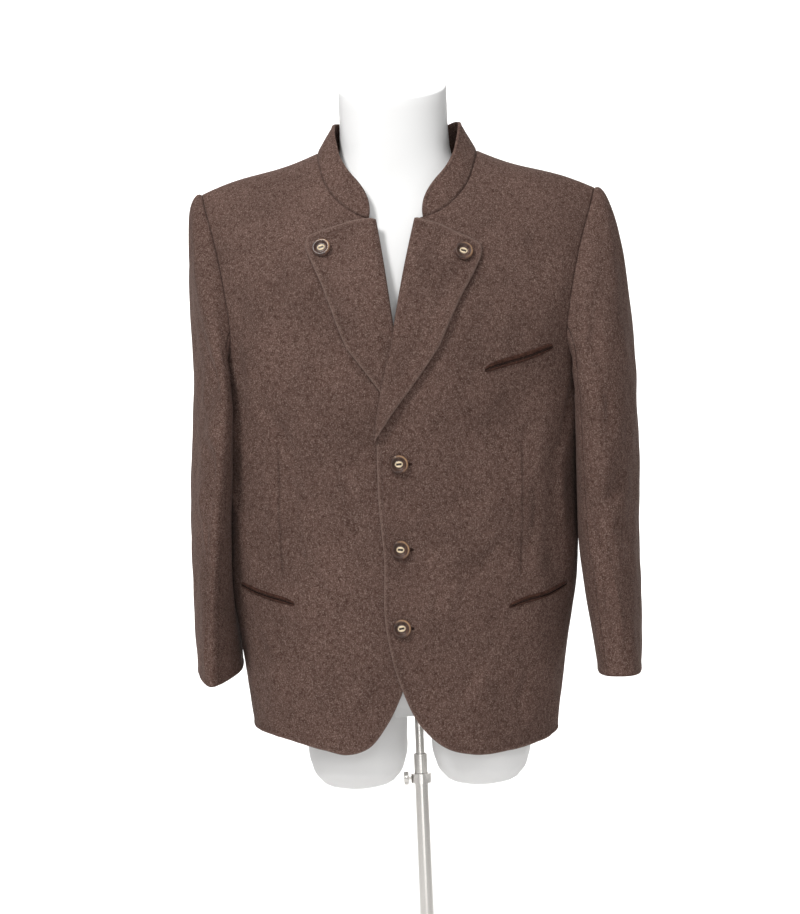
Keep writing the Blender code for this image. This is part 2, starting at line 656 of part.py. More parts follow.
def sleeve_grid(side, turns, cap_levels, arm_levels):
    """Grid of places of a sleeve's inner face, from the armhole down to the cuff."""
    top_z = SLEEVES[side][0][0]
    cuff_z = SLEEVES[side][-1][0]
    start = armhole_ring(turns)
    end = arm_ring(side, turns, top_z)
    way, keep = cap_start(turns)
    reach = np.linalg.norm(end - start, axis=1, keepdims=True)
    first = start + way * reach * keep[:, None]
    upward = end - arm_ring(side, turns, top_z - 0.03)
    upward /= np.linalg.norm(upward, axis=1, keepdims=True)
    second = end + upward * reach * CAP_KEEP_END
    rows = []
    for t in np.linspace(0, 1, cap_levels, endpoint=False):
        back = 1 - t
        rows.append(start * back ** 3 + first * 3 * t * back ** 2 + second * 3 * t * t * back + end * t ** 3)
    for z in np.linspace(top_z, cuff_z, arm_levels):
        rows.append(arm_ring(side, turns, z))
    return np.array(rows)


def add_sleeve(side, part):
    """The upper or the under part of a sleeve."""
    sign = FRONTS[side]["sign"]
    fore, hind = SLEEVE_SEAMS
    gap = SEAM_GAP / 2 / SLEEVE_GIRTH
    if part == "upper":
        low, high = hind - 1 + gap, fore - gap
    else:
        low, high = fore + gap, hind - gap
    count = max(5, round((high - low) * ARM_STEPS) + 1)
    grid = sleeve_grid(side, np.linspace(low, high, count), CAP_LEVELS, ARM_LEVELS)
    points = grid.reshape(-1, 3) * (sign, 1, 1)
    name = f"sleeve_{side}_{part}"
    mesh = mesh_of(name, points, grid_faces(len(grid), count), flip=sign < 0)
    wall(add_object(name, mesh, "loden", JACKET_X), CLOTH, 1)


# ================= pockets and buttons =================

def add_piping(pocket, part):
    """One piping of a pocket: a pointed strip along the slit, laid on the front."""
    sign, inner, outer, upper, lower = POCKETS[pocket]
    line = charted((inner, outer))
    share = np.linspace(0, 1, PIPING_STEPS + 1)
    middle = line[0] + (line[1] - line[0]) * share[:, None]
    bow = np.sin(math.pi * share) ** 0.7
    height = PIPING_END + ((upper if part == "upper" else lower) - PIPING_END) * bow
    way = 1 if part == "upper" else -1
    near = middle[:, 1] + way * SEAM_GAP * 0.6
    rows = [near, near + way * height]
    grid = np.array([np.column_stack([middle[:, 0], row]) for row in rows])
    u, v = grid.reshape(-1, 2).T
    lift = lap_lift("left" if sign > 0 else "right", u, v) + CLOTH + LAY_GAP + PIPING_CLOTH / 2
    points = raised(u, v, lift) * (sign, 1, 1)
    name = f"{pocket}_{part}"
    mesh = mesh_of(name, points, grid_faces(2, PIPING_STEPS + 1), flip=(sign > 0) == (part == "lower"))
    wall(add_object(name, mesh, "piping", JACKET_X), PIPING_CLOTH, 0)


def button_mesh():
    """Turned profile of a horn button: a dished face with a thick rim, flat behind."""
    r = BUTTON_RADIUS
    t = BUTTON_THICKNESS
    profile = ((0, 0.62 * t), (0.30 * r, 0.62 * t), (0.62 * r, 0.70 * t), (0.84 * r, t), (0.95 * r, 0.92 * t),
               (r, 0.62 * t), (0.97 * r, 0.28 * t), (0.80 * r, 0), (0, 0))
    return profile


def turned(name, profile, finish, steps, parent=None):
    """A profile of radius and height turned about Z."""
    mesh = bpy.data.meshes.new(name)
    points = [(radius, 0, height) for radius, height in profile]
    mesh.from_pydata(points, [(i, i + 1) for i in range(len(points) - 1)], [])
    piece = add_object(name, mesh, finish, parent=parent)
    screw = piece.modifiers.new("turn", "SCREW")
    screw.steps = steps
    screw.render_steps = steps
    screw.use_merge_vertices = True
    screw.merge_threshold = 0.00001
    screw.use_smooth_shade = True
    return piece


def add_button(name, sign, u, v, height):
    """A button standing on a charted point, height above the body's inner face."""
    place = raised(np.array([u]), np.array([v]), np.array([height]))[0] * (sign, 1, 1)
    normal = outward(np.array([u]), np.array([v]))[0] * (sign, 1, 1)
    piece = turned(name, button_mesh(), "horn", ROUND_STEPS // 2)
    piece.rotation_euler = Vector(normal).to_track_quat("Z", "Y").to_euler()
    piece.location = Vector(place) + Vector((JACKET_X, 0, 0))


def add_buttons():
    """Three buttons down the front and one on each lapel."""
    for number, z in enumerate(FRONT_BUTTONS_Z, start=1):
        height = lap_lift("left", np.array([0.0]), np.array([z]))[0] + CLOTH + BUTTON_GAP
        add_button(f"front_button_{number}", 1, 0.0, z, height)
    for side, spec in FRONTS.items():
        u, v = chart(*spec["button"])
        height = lapel_height(side, np.array([u]), np.array([v]))[0] + LAPEL_CLOTH / 2 + BUTTON_GAP
        add_button("lapel_button_" + side, spec["sign"], u, v, height)


# ================= dress form and stand =================

def ring_of(half, front, rear, z, power, steps, x=0.0, y=0.0, slope=0.0):
    """A level ring, deeper in front or behind as stated, tipped by slope."""
    angle = np.linspace(0, 2 * math.pi, steps, endpoint=False)
    cos = np.cos(angle)
    sin = np.sin(angle)
    px = half * np.sign(cos) * np.abs(cos) ** (2 / power)
    deep = np.where(sin < 0, front, rear)
    py = deep * np.sign(sin) * np.abs(sin) ** (2 / power)
    return np.column_stack([px + x, py + y, z + py * slope])


def loft(name, rings, finish, parent, cutter=False):
    """Closed loft through rings, from the lowest to the highest."""
    steps = len(rings[0])
    faces = grid_faces(len(rings), steps, closed=True)
    last = (len(rings) - 1) * steps
    faces.append(tuple(reversed(range(steps))))
    faces.append(tuple(last + i for i in range(steps)))
    mesh = mesh_of(name, np.concatenate(rings), faces)
    return add_object(name, mesh, finish, parent=parent, cutter=cutter)


def boolean(piece, other, operation):
    """Join another closed mesh to a piece, or cut it out."""
    made = piece.modifiers.new(operation.lower(), "BOOLEAN")
    made.operation = operation
    made.object = other
    made.solver = "EXACT"


def add_form(pole):
    """Headless, armless torso form: a lofted trunk, two rounded lower ends and a socket for the pole."""
    levels = sorted({row[0] for row in FORM_ROWS} | set(np.round(np.arange(0.60, 1.28, 0.04), 3)))
    rings = []
    for z in levels:
        half, front, rear = through(FORM_ROWS, z)
        rings.append(ring_of(half, front, rear, z, FORM_ROUNDNESS, FORM_STEPS, 0.0, FORM_CENTRE_Y))
    half, front, rear = FORM_ROWS[-1][1:]
    rings.append(ring_of(half, front, rear, NECK_TOP_Z, FORM_ROUNDNESS, FORM_STEPS, 0.0,
                         FORM_CENTRE_Y, NECK_TOP_SLOPE))
    form = loft("dress_form", rings, "form", pole)
    for sign in (-1, 1):
        lobe_rings = [ring_of(half, deep, deep, z, 2.2, FORM_STEPS, sign * LOBE_X, FORM_CENTRE_Y)
                      for z, half, deep in LOBE_ROWS]
        boolean(form, loft(f"lobe_{sign}", lobe_rings, "form", pole, cutter=True), "UNION")
    top = CROTCH_Z + SOCKET_DEPTH
    socket = cylinder("socket", INNER_RADIUS + SOCKET_GAP, CROTCH_Z - 0.03, top, "form", pole, cutter=True)
    boolean(form, socket, "DIFFERENCE")


def cylinder(name, radius, low, high, finish, parent, cutter=False, open_ends=False):
    """A cylinder along Z between two heights."""
    bpy.ops.mesh.primitive_cylinder_add(
        vertices=ROUND_STEPS, radius=radius, depth=high - low,
        end_fill_type="NOTHING" if open_ends else "NGON")
    made = bpy.context.active_object
    mesh = made.data
    bpy.data.objects.remove(made)
    mesh.transform(Matrix.Translation((0, 0, (low + high) / 2)))
    mesh.shade_smooth()
    mesh.set_sharp_from_angle(angle=math.radians(40))
    return add_object(name, mesh, finish, parent=parent, cutter=cutter)


def add_stand(pole):
    """Two tubes that slide in each other, a clamp ring with its screw, and a round base."""
    cylinder("pole_inner", INNER_RADIUS, INNER_FOOT_Z, CROTCH_Z + SOCKET_DEPTH - SOCKET_GAP, "steel", pole)
    low = HUB_TOP_Z + 0.0008
    outer = cylinder("pole_outer", OUTER_RADIUS, low, OUTER_TOP_Z, "steel", pole, open_ends=True)
    wall(outer, TUBE_WALL, -1)
    low = CLAMP_Z - CLAMP_HEIGHT / 2
    clamp = cylinder("clamp_ring", CLAMP_RADIUS, low, low + CLAMP_HEIGHT, "steel", pole, open_ends=True)
    wall(clamp, CLAMP_RADIUS - OUTER_RADIUS - SEAM_GAP, -1)
    hole = cylinder("screw_hole", SCREW_HOLE_RADIUS, 0, CLAMP_RADIUS * 1.5, "steel", pole, cutter=True)
    hole.rotation_euler = (0, -math.pi / 2, 0)
    hole.location = (0, 0, CLAMP_Z)
    boolean(clamp, hole, "DIFFERENCE")
    add_screw(pole)
    edge = 0.002
    profile = ((0, HUB_TOP_Z), (HUB_RADIUS - edge, HUB_TOP_Z), (HUB_RADIUS, HUB_TOP_Z - edge),
               (HUB_RADIUS, BASE_THICKNESS + edge), (HUB_RADIUS + edge, BASE_THICKNESS),
               (BASE_RADIUS - edge, BASE_THICKNESS), (BASE_RADIUS, BASE_THICKNESS - edge), (BASE_RADIUS, 0), (0, 0))
    turned("base", profile, "base", ROUND_STEPS)


def add_screw(pole):
    """The clamp's thumb screw, pointing to -X: a shank and a round knob."""
    near = OUTER_RADIUS + SEAM_GAP
    knob = CLAMP_RADIUS + 0.003
    edge = 0.001
    top = knob + KNOB_THICKNESS
    profile = ((0, top), (KNOB_RADIUS - edge, top), (KNOB_RADIUS, top - edge), (KNOB_RADIUS, knob + edge),
               (KNOB_RADIUS - edge, knob), (SCREW_RADIUS, knob), (SCREW_RADIUS, near), (0, near))
    screw = turned("clamp_screw", profile, "steel", 24, pole)
    screw.rotation_euler = (0, -math.pi / 2, 0)
    screw.location = (0, 0, CLAMP_Z)


# ================= build =================

def clear_scene():
    """Start from nothing, with one collection for the object and one for its cutters."""
    for old in list(bpy.data.objects):
        bpy.data.objects.remove(old)
    for name in ("tyrolean_jacket", "cutters"):
        made = bpy.data.collections.new(name)
        bpy.context.scene.collection.children.link(made)


def main():
    """Build every piece."""
    clear_scene()
    pole = bpy.data.objects.new("pole_axis", None)
    pole.rotation_euler = (0, POLE_LEAN, 0)
    bpy.data.collections["tyrolean_jacket"].objects.link(pole)
    for side in FRONTS:
        add_front(side)
        add_back(side)
        add_lapel(side)
        add_sleeve(side, "upper")
        add_sleeve(side, "under")
    add_collar()
    for pocket in POCKETS:
        add_piping(pocket, "upper")
        add_piping(pocket, "lower")
    add_buttons()
    add_form(pole)
    add_stand(pole)


main()
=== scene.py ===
"""Looks of the tyrolean loden jacket on its dress form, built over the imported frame.

Cloth pieces are closed thin shells laid out on the same charted body surface as the solids, with
seams, stitching and folds worked into their height. Metres, +Z up, the jacket faces -Y.
"""

import math

import bmesh
import bpy
import numpy as np
from mathutils import Matrix, Vector
from mathutils.geometry import delaunay_2d_cdt


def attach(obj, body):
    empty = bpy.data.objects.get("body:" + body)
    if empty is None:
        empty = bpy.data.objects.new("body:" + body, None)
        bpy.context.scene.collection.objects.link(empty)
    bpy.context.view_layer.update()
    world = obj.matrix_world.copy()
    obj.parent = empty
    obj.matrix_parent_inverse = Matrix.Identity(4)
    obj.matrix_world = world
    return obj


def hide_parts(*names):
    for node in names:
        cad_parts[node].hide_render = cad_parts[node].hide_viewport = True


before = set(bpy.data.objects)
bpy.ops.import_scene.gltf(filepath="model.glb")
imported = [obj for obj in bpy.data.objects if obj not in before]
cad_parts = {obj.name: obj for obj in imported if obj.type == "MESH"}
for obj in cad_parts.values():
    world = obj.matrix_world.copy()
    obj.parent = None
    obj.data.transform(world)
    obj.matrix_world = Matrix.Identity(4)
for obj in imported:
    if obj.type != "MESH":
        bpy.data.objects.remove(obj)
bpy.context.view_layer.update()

# ---------- the jacket's measures, the same as the solids' ----------
JACKET_X = -0.030
JACKET = Matrix.Translation((JACKET_X, 0, 0))
POLE_LEAN = math.radians(-1.5)
CLOTH = 0.0020
LAPEL_CLOTH = 0.0020
COLLAR_CLOTH = 0.0030
LAY_GAP = 0.0006

# Each row: z, half width, depth in front, depth behind.
BODY_ROWS = (
    (0.485, 0.1865, 0.116, 0.142),
    (0.530, 0.1900, 0.118, 0.144),
    (0.570, 0.1955, 0.120, 0.142),
    (0.610, 0.2010, 0.122, 0.138),
    (0.656, 0.2080, 0.123, 0.131),
    (0.705, 0.2170, 0.124, 0.124),
    (0.760, 0.2210, 0.125, 0.118),
    (0.850, 0.2225, 0.128, 0.116),
    (0.930, 0.2280, 0.133, 0.122),
    (0.985, 0.2345, 0.1348, 0.1248),
    (1.000, 0.2350, 0.1350, 0.1250),
)
ROUNDNESS = 2.3
MEAN_SECTION = (0.2225, 0.128)
CHEST_Z = 1.000
SHOULDER_RISE = 0.260
SHOULDER_FLARE = 0.12
FRONT_HOLLOW = 0.35
BACK_HOLLOW = 0.05
RIDGE_TOP_Z = 1.287
RIDGE_SLOPE = 0.337
RIDGE_HOLLOW = 0.0025
NECK_X = 0.100
SHOULDER_X = 0.2505

# Edges of the panels, and all edges in FRONTS, by x and z.
NECK_ROWS = ((0.0330, 1.1610), (0.0510, 1.1685), (0.0712, 1.1840), (0.0865, 1.2045), (0.0965, 1.2330))
BACK_NECK_ROWS = ((0.0000, 1.2465), (0.0400, 1.2465), (0.0720, 1.2495))
ARMHOLE_ROWS = ((0.2425, 1.1760), (0.2335, 1.1460), (0.2220, 1.0990), (0.2145, 1.0570), (0.2100, 1.0150))
BACK_ARMHOLE_ROWS = ((0.2440, 1.1720), (0.2340, 1.1350), (0.2250, 1.0900), (0.2190, 1.0500), (0.2160, 1.0180))
ARMPIT_Z = 0.962
ARMPIT_BEND = (0.036, 0.0115)
BACK_HEM_Z = 0.5200

FRONTS = {
    "left": {
        "sign": 1,
        "fold": ((-0.0270, 0.884), (-0.0240, 0.915), (-0.0190, 0.942), (0.0252, 1.158)),
        "edge": ((-0.0260, 0.810), (-0.0205, 0.740), (-0.0195, 0.655), (-0.0030, 0.585), (0.0220, 0.533),
                 (0.0520, 0.506), (0.0850, 0.4968), (0.1350, 0.5005)),
        "side_hem": 0.5210,
        "lapel_top": ((0.0350, 1.1540), (0.0555, 1.1480), (0.0746, 1.1385), (0.0945, 1.1305)),
        "lapel_tip": ((0.1040, 1.1240), (0.1045, 1.1130), (0.0985, 1.0970)),
        "lapel_outer": ((0.0780, 1.0580), (0.0515, 1.0000), (0.0203, 0.9546), (-0.0097, 0.9140)),
        "button": (0.0820, 1.1150),
    },
    "right": {
        "sign": -1,
        "fold": ((-0.0215, 0.884), (0.0270, 1.1575)),
        "edge": ((-0.0210, 0.810), (-0.0205, 0.740), (-0.0195, 0.655), (-0.0030, 0.585), (0.0215, 0.533),
                 (0.0430, 0.507), (0.0690, 0.4985), (0.1000, 0.5045), (0.1500, 0.5165)),
        "side_hem": 0.5290,
        "lapel_top": ((0.0400, 1.1580), (0.0600, 1.1545), (0.0800, 1.1485), (0.0985, 1.1430)),
        "lapel_tip": ((0.1085, 1.1370), (0.1110, 1.1250), (0.1050, 1.1090)),
        "lapel_outer": ((0.0890, 1.0710), (0.0655, 1.0080), (0.0420, 0.9730), (0.0178, 0.9400)),
        "button": (0.0910, 1.1220),
    },
}
FOLD_OVERHANG = 0.0024
LAP_LOW = 0.0032
LAP_HIGH = 0.0066
LAP_CHANGE = (0.800, 0.885)
LAP_END = (1.020, 1.140)
LAP_IN = 0.035
LAP_OUT = 0.100

COLLAR_LIFT = 0.0024
COLLAR_HEIGHT = 0.0415
COLLAR_END_ROUND = 0.043
COLLAR_END_POWER = 2.25
COLLAR_LEAN_FRONT = 0.45
COLLAR_LEAN_SIDE = 0.60
COLLAR_LEAN_BACK = 0.28
NECK_AXIS_Y = -0.012

# Each row: z, middle x and y, half width, half depth, degrees turned, forward drop, wedge, squareness.
SLEEVES = {
    "left": (
        (0.930, 0.2585, -0.012, 0.0390, 0.082, 12, 0.000, 0.00, 2.00),
        (0.850, 0.2600, -0.016, 0.0375, 0.079, 12, 0.000, 0.05, 2.00),
        (0.770, 0.2590, -0.022, 0.0365, 0.075, 10, 0.000, 0.10, 2.10),
        (0.700, 0.2640, -0.028, 0.0335, 0.071, 8, 0.000, 0.10, 2.30),
        (0.630, 0.2690, -0.036, 0.0280, 0.066, 5, 0.001, 0.04, 2.60),
        (0.592, 0.2710, -0.039, 0.0250, 0.063, 3, 0.002, 0.00, 2.70),
    ),
    "right": (
        (0.930, 0.2385, -0.010, 0.0220, 0.089, 14, 0.000, 0.10, 2.00),
        (0.850, 0.2385, -0.014, 0.0255, 0.086, 10, 0.000, 0.22, 2.00),
        (0.770, 0.2380, -0.018, 0.0280, 0.081, 5, 0.001, 0.40, 2.00),
        (0.700, 0.2368, -0.023, 0.0278, 0.075, 1, 0.004, 0.52, 2.05),
        (0.630, 0.2358, -0.030, 0.0258, 0.067, -2, 0.009, 0.54, 2.10),
        (0.595, 0.2350, -0.032, 0.0245, 0.063, -3, 0.012, 0.50, 2.10),
    ),
}
SLEEVE_CLEARANCE = 0.0058
SLEEVE_LIFT = 0.0008
SLEEVE_UNDER_LIFT = 0.0004
SLEEVE_OUT = 0.0004
SLEEVE_PRESS = 0.004
SLEEVE_SEAMS = (0.325, 0.790)
SLEEVE_SEAM_GAP = 0.0006   # turns left open on each side of a seam
SLEEVE_GIRTH = 0.36
SLEEVE_LENGTH = 0.62

# Each pocket: its side's sign, x and z of its inner and outer end, width of the upper and lower piping.
POCKETS = {
    "chest_piping": (1, (0.1060, 0.9700), (0.1900, 0.9980), 0.0062, 0.0044),
    "hip_piping_left": (1, (0.1310, 0.6785), (0.2030, 0.7035), 0.0046, 0.0036),
    "hip_piping_right": (-1, (0.1320, 0.6850), (0.2010, 0.7080), 0.0046, 0.0036),
}
BUTTON_RADIUS = 0.0117
BUTTON_THICKNESS = 0.0046
FRONT_BUTTONS_Z = (0.8567, 0.7516, 0.6550)

# Each row: z, half width, depth in front, depth behind.
FORM_ROWS = (
    (0.545, 0.128, 0.060, 0.072),
    (0.575, 0.152, 0.078, 0.094),
    (0.640, 0.168, 0.090, 0.112),
    (0.700, 0.172, 0.094, 0.110),
    (0.800, 0.163, 0.093, 0.094),
    (0.900, 0.168, 0.100, 0.092),
    (1.000, 0.180, 0.108, 0.098),
    (1.070, 0.186, 0.106, 0.098),
    (1.120, 0.184, 0.094, 0.092),
    (1.155, 0.170, 0.080, 0.082),
    (1.180, 0.145, 0.068, 0.070),
    (1.200, 0.116, 0.060, 0.060),
    (1.220, 0.090, 0.056, 0.053),
    (1.245, 0.0735, 0.054, 0.045),
    (1.280, 0.0690, 0.053, 0.042),
)
FORM_CENTRE_Y = -0.006
FORM_ROUNDNESS = 2.15
FORM_STEPS = 128           # points round the form
NECK_TOP_Z = 1.3375
NECK_TOP_SLOPE = 0.45
NECK_TOP_ROWS = ((0.6, 1.0), (0.96, 1.0), (0.99, 0.992), (1.0, 0.972))   # share of the way up, narrowing
LOBE_X = 0.0785
LOBE_ROUNDNESS = 2.2
# Each row: z, half width, half depth.
LOBE_ROWS = ((0.4480, 0.020, 0.028), (0.4520, 0.036, 0.050), (0.4620, 0.050, 0.069), (0.4820, 0.0600, 0.081),
             (0.5200, 0.0635, 0.086), (0.6000, 0.0640, 0.087))

# ---------- what the looks add ----------
FINE_STEP = 0.0046         # mesh spacing of the body panels
LAPEL_STEP = 0.0034
RIM_STEP = 0.0032          # spacing along every rim
RIM_RINGS = (0.0008, 0.0020, 0.0040, 0.0052, 0.0060, 0.0068, 0.0090)   # rows of points kept beside the rim
STITCH_IN = 0.0060         # topstitching this far inside an edge
STITCH_DEPTH = 0.0004
STITCH_HALF = 0.0008
SEAM_DEPTH = 0.0009        # panels sink towards a seam
SEAM_HALF = 0.0022
EDGE_ROLL = 0.0007         # edges are thicker than the cloth by this
EDGE_FUZZ_AND_HIGHLIGHT = 0.38           # how far free edges are lightened to the lightest colour: painted highlight where an edge catches light, with lighter wool fuzz

# Folds: start across and up, end across and up, half width, height (negative is a trough), in
# millimetres. Across is u, from the middle plane outwards; up is v.
FRONT_FOLDS = {
    "right": (
        (141, 945, 72, 795, 17, 3), (70, 795, 45, 735, 14, 1.6),
        (168, 930, 134, 825, 13, -2.4), (134, 825, 92, 685, 13, -2.8),
        (170, 850, 172, 760, 10, 1.6), (112, 800, 105, 700, 8, 1.2),
        (168, 1080, 176, 985, 20, 2), (130, 1090, 120, 1000, 16, -1),
        (222, 1060, 208, 900, 12, -2.2), (235, 940, 215, 780, 14, 2),
        (60, 660, 70, 545, 18, 1.6), (125, 640, 120, 540, 16, -1.4),
        (190, 660, 196, 545, 18, 1.8), (90, 1195, 190, 1165, 16, -0.9),
    ),
    "left": (
        (184, 900, 184, 705, 22, 3), (155, 880, 152, 720, 11, -1.6),
        (132, 668, 152, 636, 5, 1.1), (10, 765, 112, 815, 13, -1.6),
        (30, 735, 130, 775, 14, 1.6), (64, 735, 60, 670, 7, 1),
        (46, 715, 50, 655, 10, -1.2), (105, 640, 100, 545, 17, 1.4),
        (178, 600, 176, 535, 8, -1.2), (220, 1050, 212, 890, 12, -2.2),
        (238, 930, 222, 760, 14, 1.8), (120, 1060, 95, 930, 20, 1.4),
        (150, 1120, 178, 1060, 18, -1), (45, 905, 90, 870, 14, -1.2),
    ),
}
BACK_FOLDS = {
    "left": (
        (200, 1060, 168, 860, 16, 3.4), (165, 1030, 130, 850, 14, -2.6),
        (30, 800, 150, 770, 14, -2.4), (50, 770, 170, 735, 12, 2.2),
        (100, 690, 85, 560, 22, 3), (160, 680, 165, 550, 18, -2.2),
        (60, 1190, 170, 1150, 18, -1.6), (220, 880, 205, 720, 14, 2),
    ),
    "right": (
        (206, 1040, 176, 870, 15, 3.2), (170, 1050, 140, 840, 15, -2.8),
        (20, 785, 130, 765, 13, -2.2), (60, 750, 175, 725, 13, 2.4),
        (110, 680, 98, 550, 20, 2.8), (170, 690, 172, 560, 18, -2.4),
        (80, 1200, 175, 1160, 17, -1.4), (225, 900, 205, 740, 14, 2.2),
    ),
}
# The same for sleeves, but in thousandths: turn and level at the start and at the end, half width in
# turns, height. Turn 0 is the outer side, 250 the front; level 0 is the armhole and 1000 the cuff.
SLEEVE_FOLDS = {
    "left": (
        (205, 160, 200, 360, 30, -2.6), (150, 180, 135, 420, 32, 2),
        (270, 200, 262, 460, 26, 2.2), (190, 420, 222, 580, 24, -2.4),
        (120, 500, 230, 600, 26, 2.6), (110, 580, 250, 660, 22, -2.6),
        (90, 640, 210, 720, 24, 1.8), (240, 740, 246, 970, 16, 2.4),
        (190, 720, 205, 980, 24, -1.8), (300, 680, 290, 900, 20, -2.8),
        (640, 480, 780, 540, 26, 3), (620, 560, 800, 600, 24, -3),
        (880, 300, 900, 520, 30, -2.2), (830, 600, 860, 850, 30, 2),
        (0, 200, 990, 400, 30, 1.2),
    ),
    "right": (
        (180, 140, 165, 340, 28, 2), (215, 200, 205, 440, 22, -2.2),
        (120, 260, 125, 480, 26, -2), (90, 400, 190, 520, 24, 2.2),
        (100, 520, 210, 600, 22, -2.4), (80, 600, 190, 680, 22, 2),
        (120, 660, 170, 970, 12, 2.2), (205, 620, 215, 950, 24, -2),
        (630, 460, 790, 530, 26, 3), (620, 550, 800, 590, 24, -3),
        (870, 280, 890, 500, 30, -2.2), (840, 620, 870, 880, 30, 2),
    ),
}
FOLD_SCALE = 1.9           # all body folds are raised by this
SLEEVE_FOLD_SCALE = 1.35
SLEEVE_STRETCH = 1.45      # a sleeve's level to its turn, to draw folds in one scale
SLEEVE_HEAD = 0.0016       # fullness just below the shoulder seam
SLEEVE_FOLD_SPREAD = 1.6   # sleeve folds are wider than their tables by this
DART_U = 0.153
DART_V = (0.712, 0.905)


# ================= curves =================

def through(rows, value):
    """Smooth curves through a table's columns, read at value of its first column."""
    rows = np.asarray(rows, float)
    keys = rows[:, 0]
    values = rows[:, 1:]
    slopes = np.gradient(values, keys, axis=0)
    value = np.clip(np.asarray(value, float), keys[0], keys[-1])
    i = np.clip(np.searchsorted(keys, value) - 1, 0, len(keys) - 2)
    span = (keys[i + 1] - keys[i])[..., None]
    t = (value - keys[i])[..., None] / span
    low = values[i] * (1 + 2 * t) * (1 - t) ** 2 + slopes[i] * span * t * (1 - t) ** 2
    high = values[i + 1] * t * t * (3 - 2 * t) + slopes[i + 1] * span * t * t * (t - 1)
    return np.moveaxis(low + high, -1, 0)


def run_of(points):
    """Length reached at every point of a line."""
    return np.concatenate([[0], np.cumsum(np.linalg.norm(np.diff(points, axis=0), axis=1))])


def unit(vectors):
    """The vectors at length 1."""
    return vectors / np.linalg.norm(vectors, axis=-1, keepdims=True)


def read_at(value, keys, places):
    """Places read at value between those at the keys."""
    return np.stack([np.interp(value, keys, column) for column in places.T], axis=-1)


def smooth_line(points, step):
    """Points about a step apart along a smooth curve through the given ones."""
    points = np.asarray(points, float)
    along = run_of(points)
    rows = np.column_stack([along, points])
    dense = np.stack(through(rows, np.linspace(0, along[-1], 40 * len(points))), axis=1)
    run = run_of(dense)
    count = max(2, round(run[-1] / step) + 1)
    return read_at(np.linspace(0, run[-1], count), run, dense)


def ease(low, high, value):
    """0 below low, 1 above high, smooth between."""
    t = np.clip((value - low) / (high - low), 0, 1)
    return t * t * (3 - 2 * t)


def bump(distance, half):
    """1 at distance 0, fading smoothly to 0 past half."""
    return np.exp(-0.5 * (distance / (0.5 * half)) ** 2)


# ================= body surface =================

def section_table():
    """Angles of the mean section and the length of quarter girth that each has reached."""
    angles = np.linspace(0, math.pi / 2, 721)
    x = MEAN_SECTION[0] * np.sin(angles) ** (2 / ROUNDNESS)
    y = MEAN_SECTION[1] * np.cos(angles) ** (2 / ROUNDNESS)
    run = np.concatenate([[0], np.cumsum(np.hypot(np.diff(x), np.diff(y)))])
    return angles, run


ANGLES, GIRTH = section_table()
SIDE_U = GIRTH[-1]
TOP_V = CHEST_Z + SHOULDER_RISE


def ridge(x):
    """Height of the shoulder line at x."""
    share = (np.abs(x) - NECK_X) / (SHOULDER_X - NECK_X)
    dip = RIDGE_HOLLOW * np.sin(2 * math.pi * np.clip(share, 0, 1))
    return RIDGE_TOP_Z - RIDGE_SLOPE * np.abs(x) - dip


def body(u, v, behind=False):
    """Place of the charted point u, v on the jacket's inner face, in front or behind."""
    u = np.asarray(u, float)
    v = np.asarray(v, float)
    angle = np.interp(np.abs(u), GIRTH, ANGLES)
    across = np.sign(u) * np.sin(angle) ** (2 / ROUNDNESS)
    deep = np.clip(np.cos(angle), 0, 1) ** (2 / ROUNDNESS)
    low = np.minimum(v, CHEST_Z)
    half, front, rear = through(BODY_ROWS, low)
    turn = np.clip((v - CHEST_Z) / SHOULDER_RISE, 0, 1) * math.pi / 2
    lift = np.sin(turn)
    x = half * across * (1 + SHOULDER_FLARE * lift)
    hollow = BACK_HOLLOW if behind else FRONT_HOLLOW
    depth = (rear if behind else -front) * deep * np.cos(turn) * (1 - hollow * lift ** 2)
    z = low + (ridge(x) - CHEST_Z) * lift
    return np.stack(np.broadcast_arrays(x, depth, z), axis=-1)


def chart(x, z):
    """u and v of the body point at x and z."""
    x = np.asarray(x, float)
    z = np.asarray(z, float)
    lift = np.clip((z - CHEST_Z) / (ridge(x) - CHEST_Z), 0, 1)
    v = np.where(z < CHEST_Z, z, CHEST_Z + SHOULDER_RISE * np.arcsin(lift) / (math.pi / 2))
    half = through(BODY_ROWS, np.minimum(z, CHEST_Z))[0]
    across = np.clip(np.abs(x) / (half * (1 + SHOULDER_FLARE * lift)), 0, 1)
    u = np.sign(x) * np.interp(np.arcsin(across ** (ROUNDNESS / 2)), ANGLES, GIRTH)
    return np.stack(np.broadcast_arrays(u, v), axis=-1)


def charted(rows):
    """Chart points of rows of x and z."""
    rows = np.asarray(rows, float)
    return chart(rows[:, 0], rows[:, 1])


def outward(u, v, behind=False):
    """Unit normal of the body surface, pointing out of the jacket."""
    step = 1e-3
    u = np.asarray(u, float)
    v = np.clip(np.asarray(v, float), 0, TOP_V - step)
    along = body(u + step, v, behind) - body(u - step, v, behind)
    up = body(u, v + step, behind) - body(u, v - step, behind)
    normal = unit(np.cross(along, up))
    return -normal if behind else normal


def raised(u, v, height, behind=False):
    """Body point moved out by height."""
    return body(u, v, behind) + outward(u, v, behind) * np.asarray(height)[..., None]


def lap_lift(side, u, v):
    """How far a front is lifted off the body surface: the left one passes over the right one."""
    if side != "left":
        return np.zeros(np.broadcast(u, v).shape)
    full = LAP_LOW + (LAP_HIGH - LAP_LOW) * ease(*LAP_CHANGE, v) - LAP_HIGH * ease(*LAP_END, v)
    return full * (1 - ease(LAP_IN, LAP_OUT, np.asarray(u)))


# ================= flat cutting =================

AT_ONCE = 1500             # points measured together, to spare memory
ROW_ROOM = 0.0025          # the lattice stays this far from extra rows


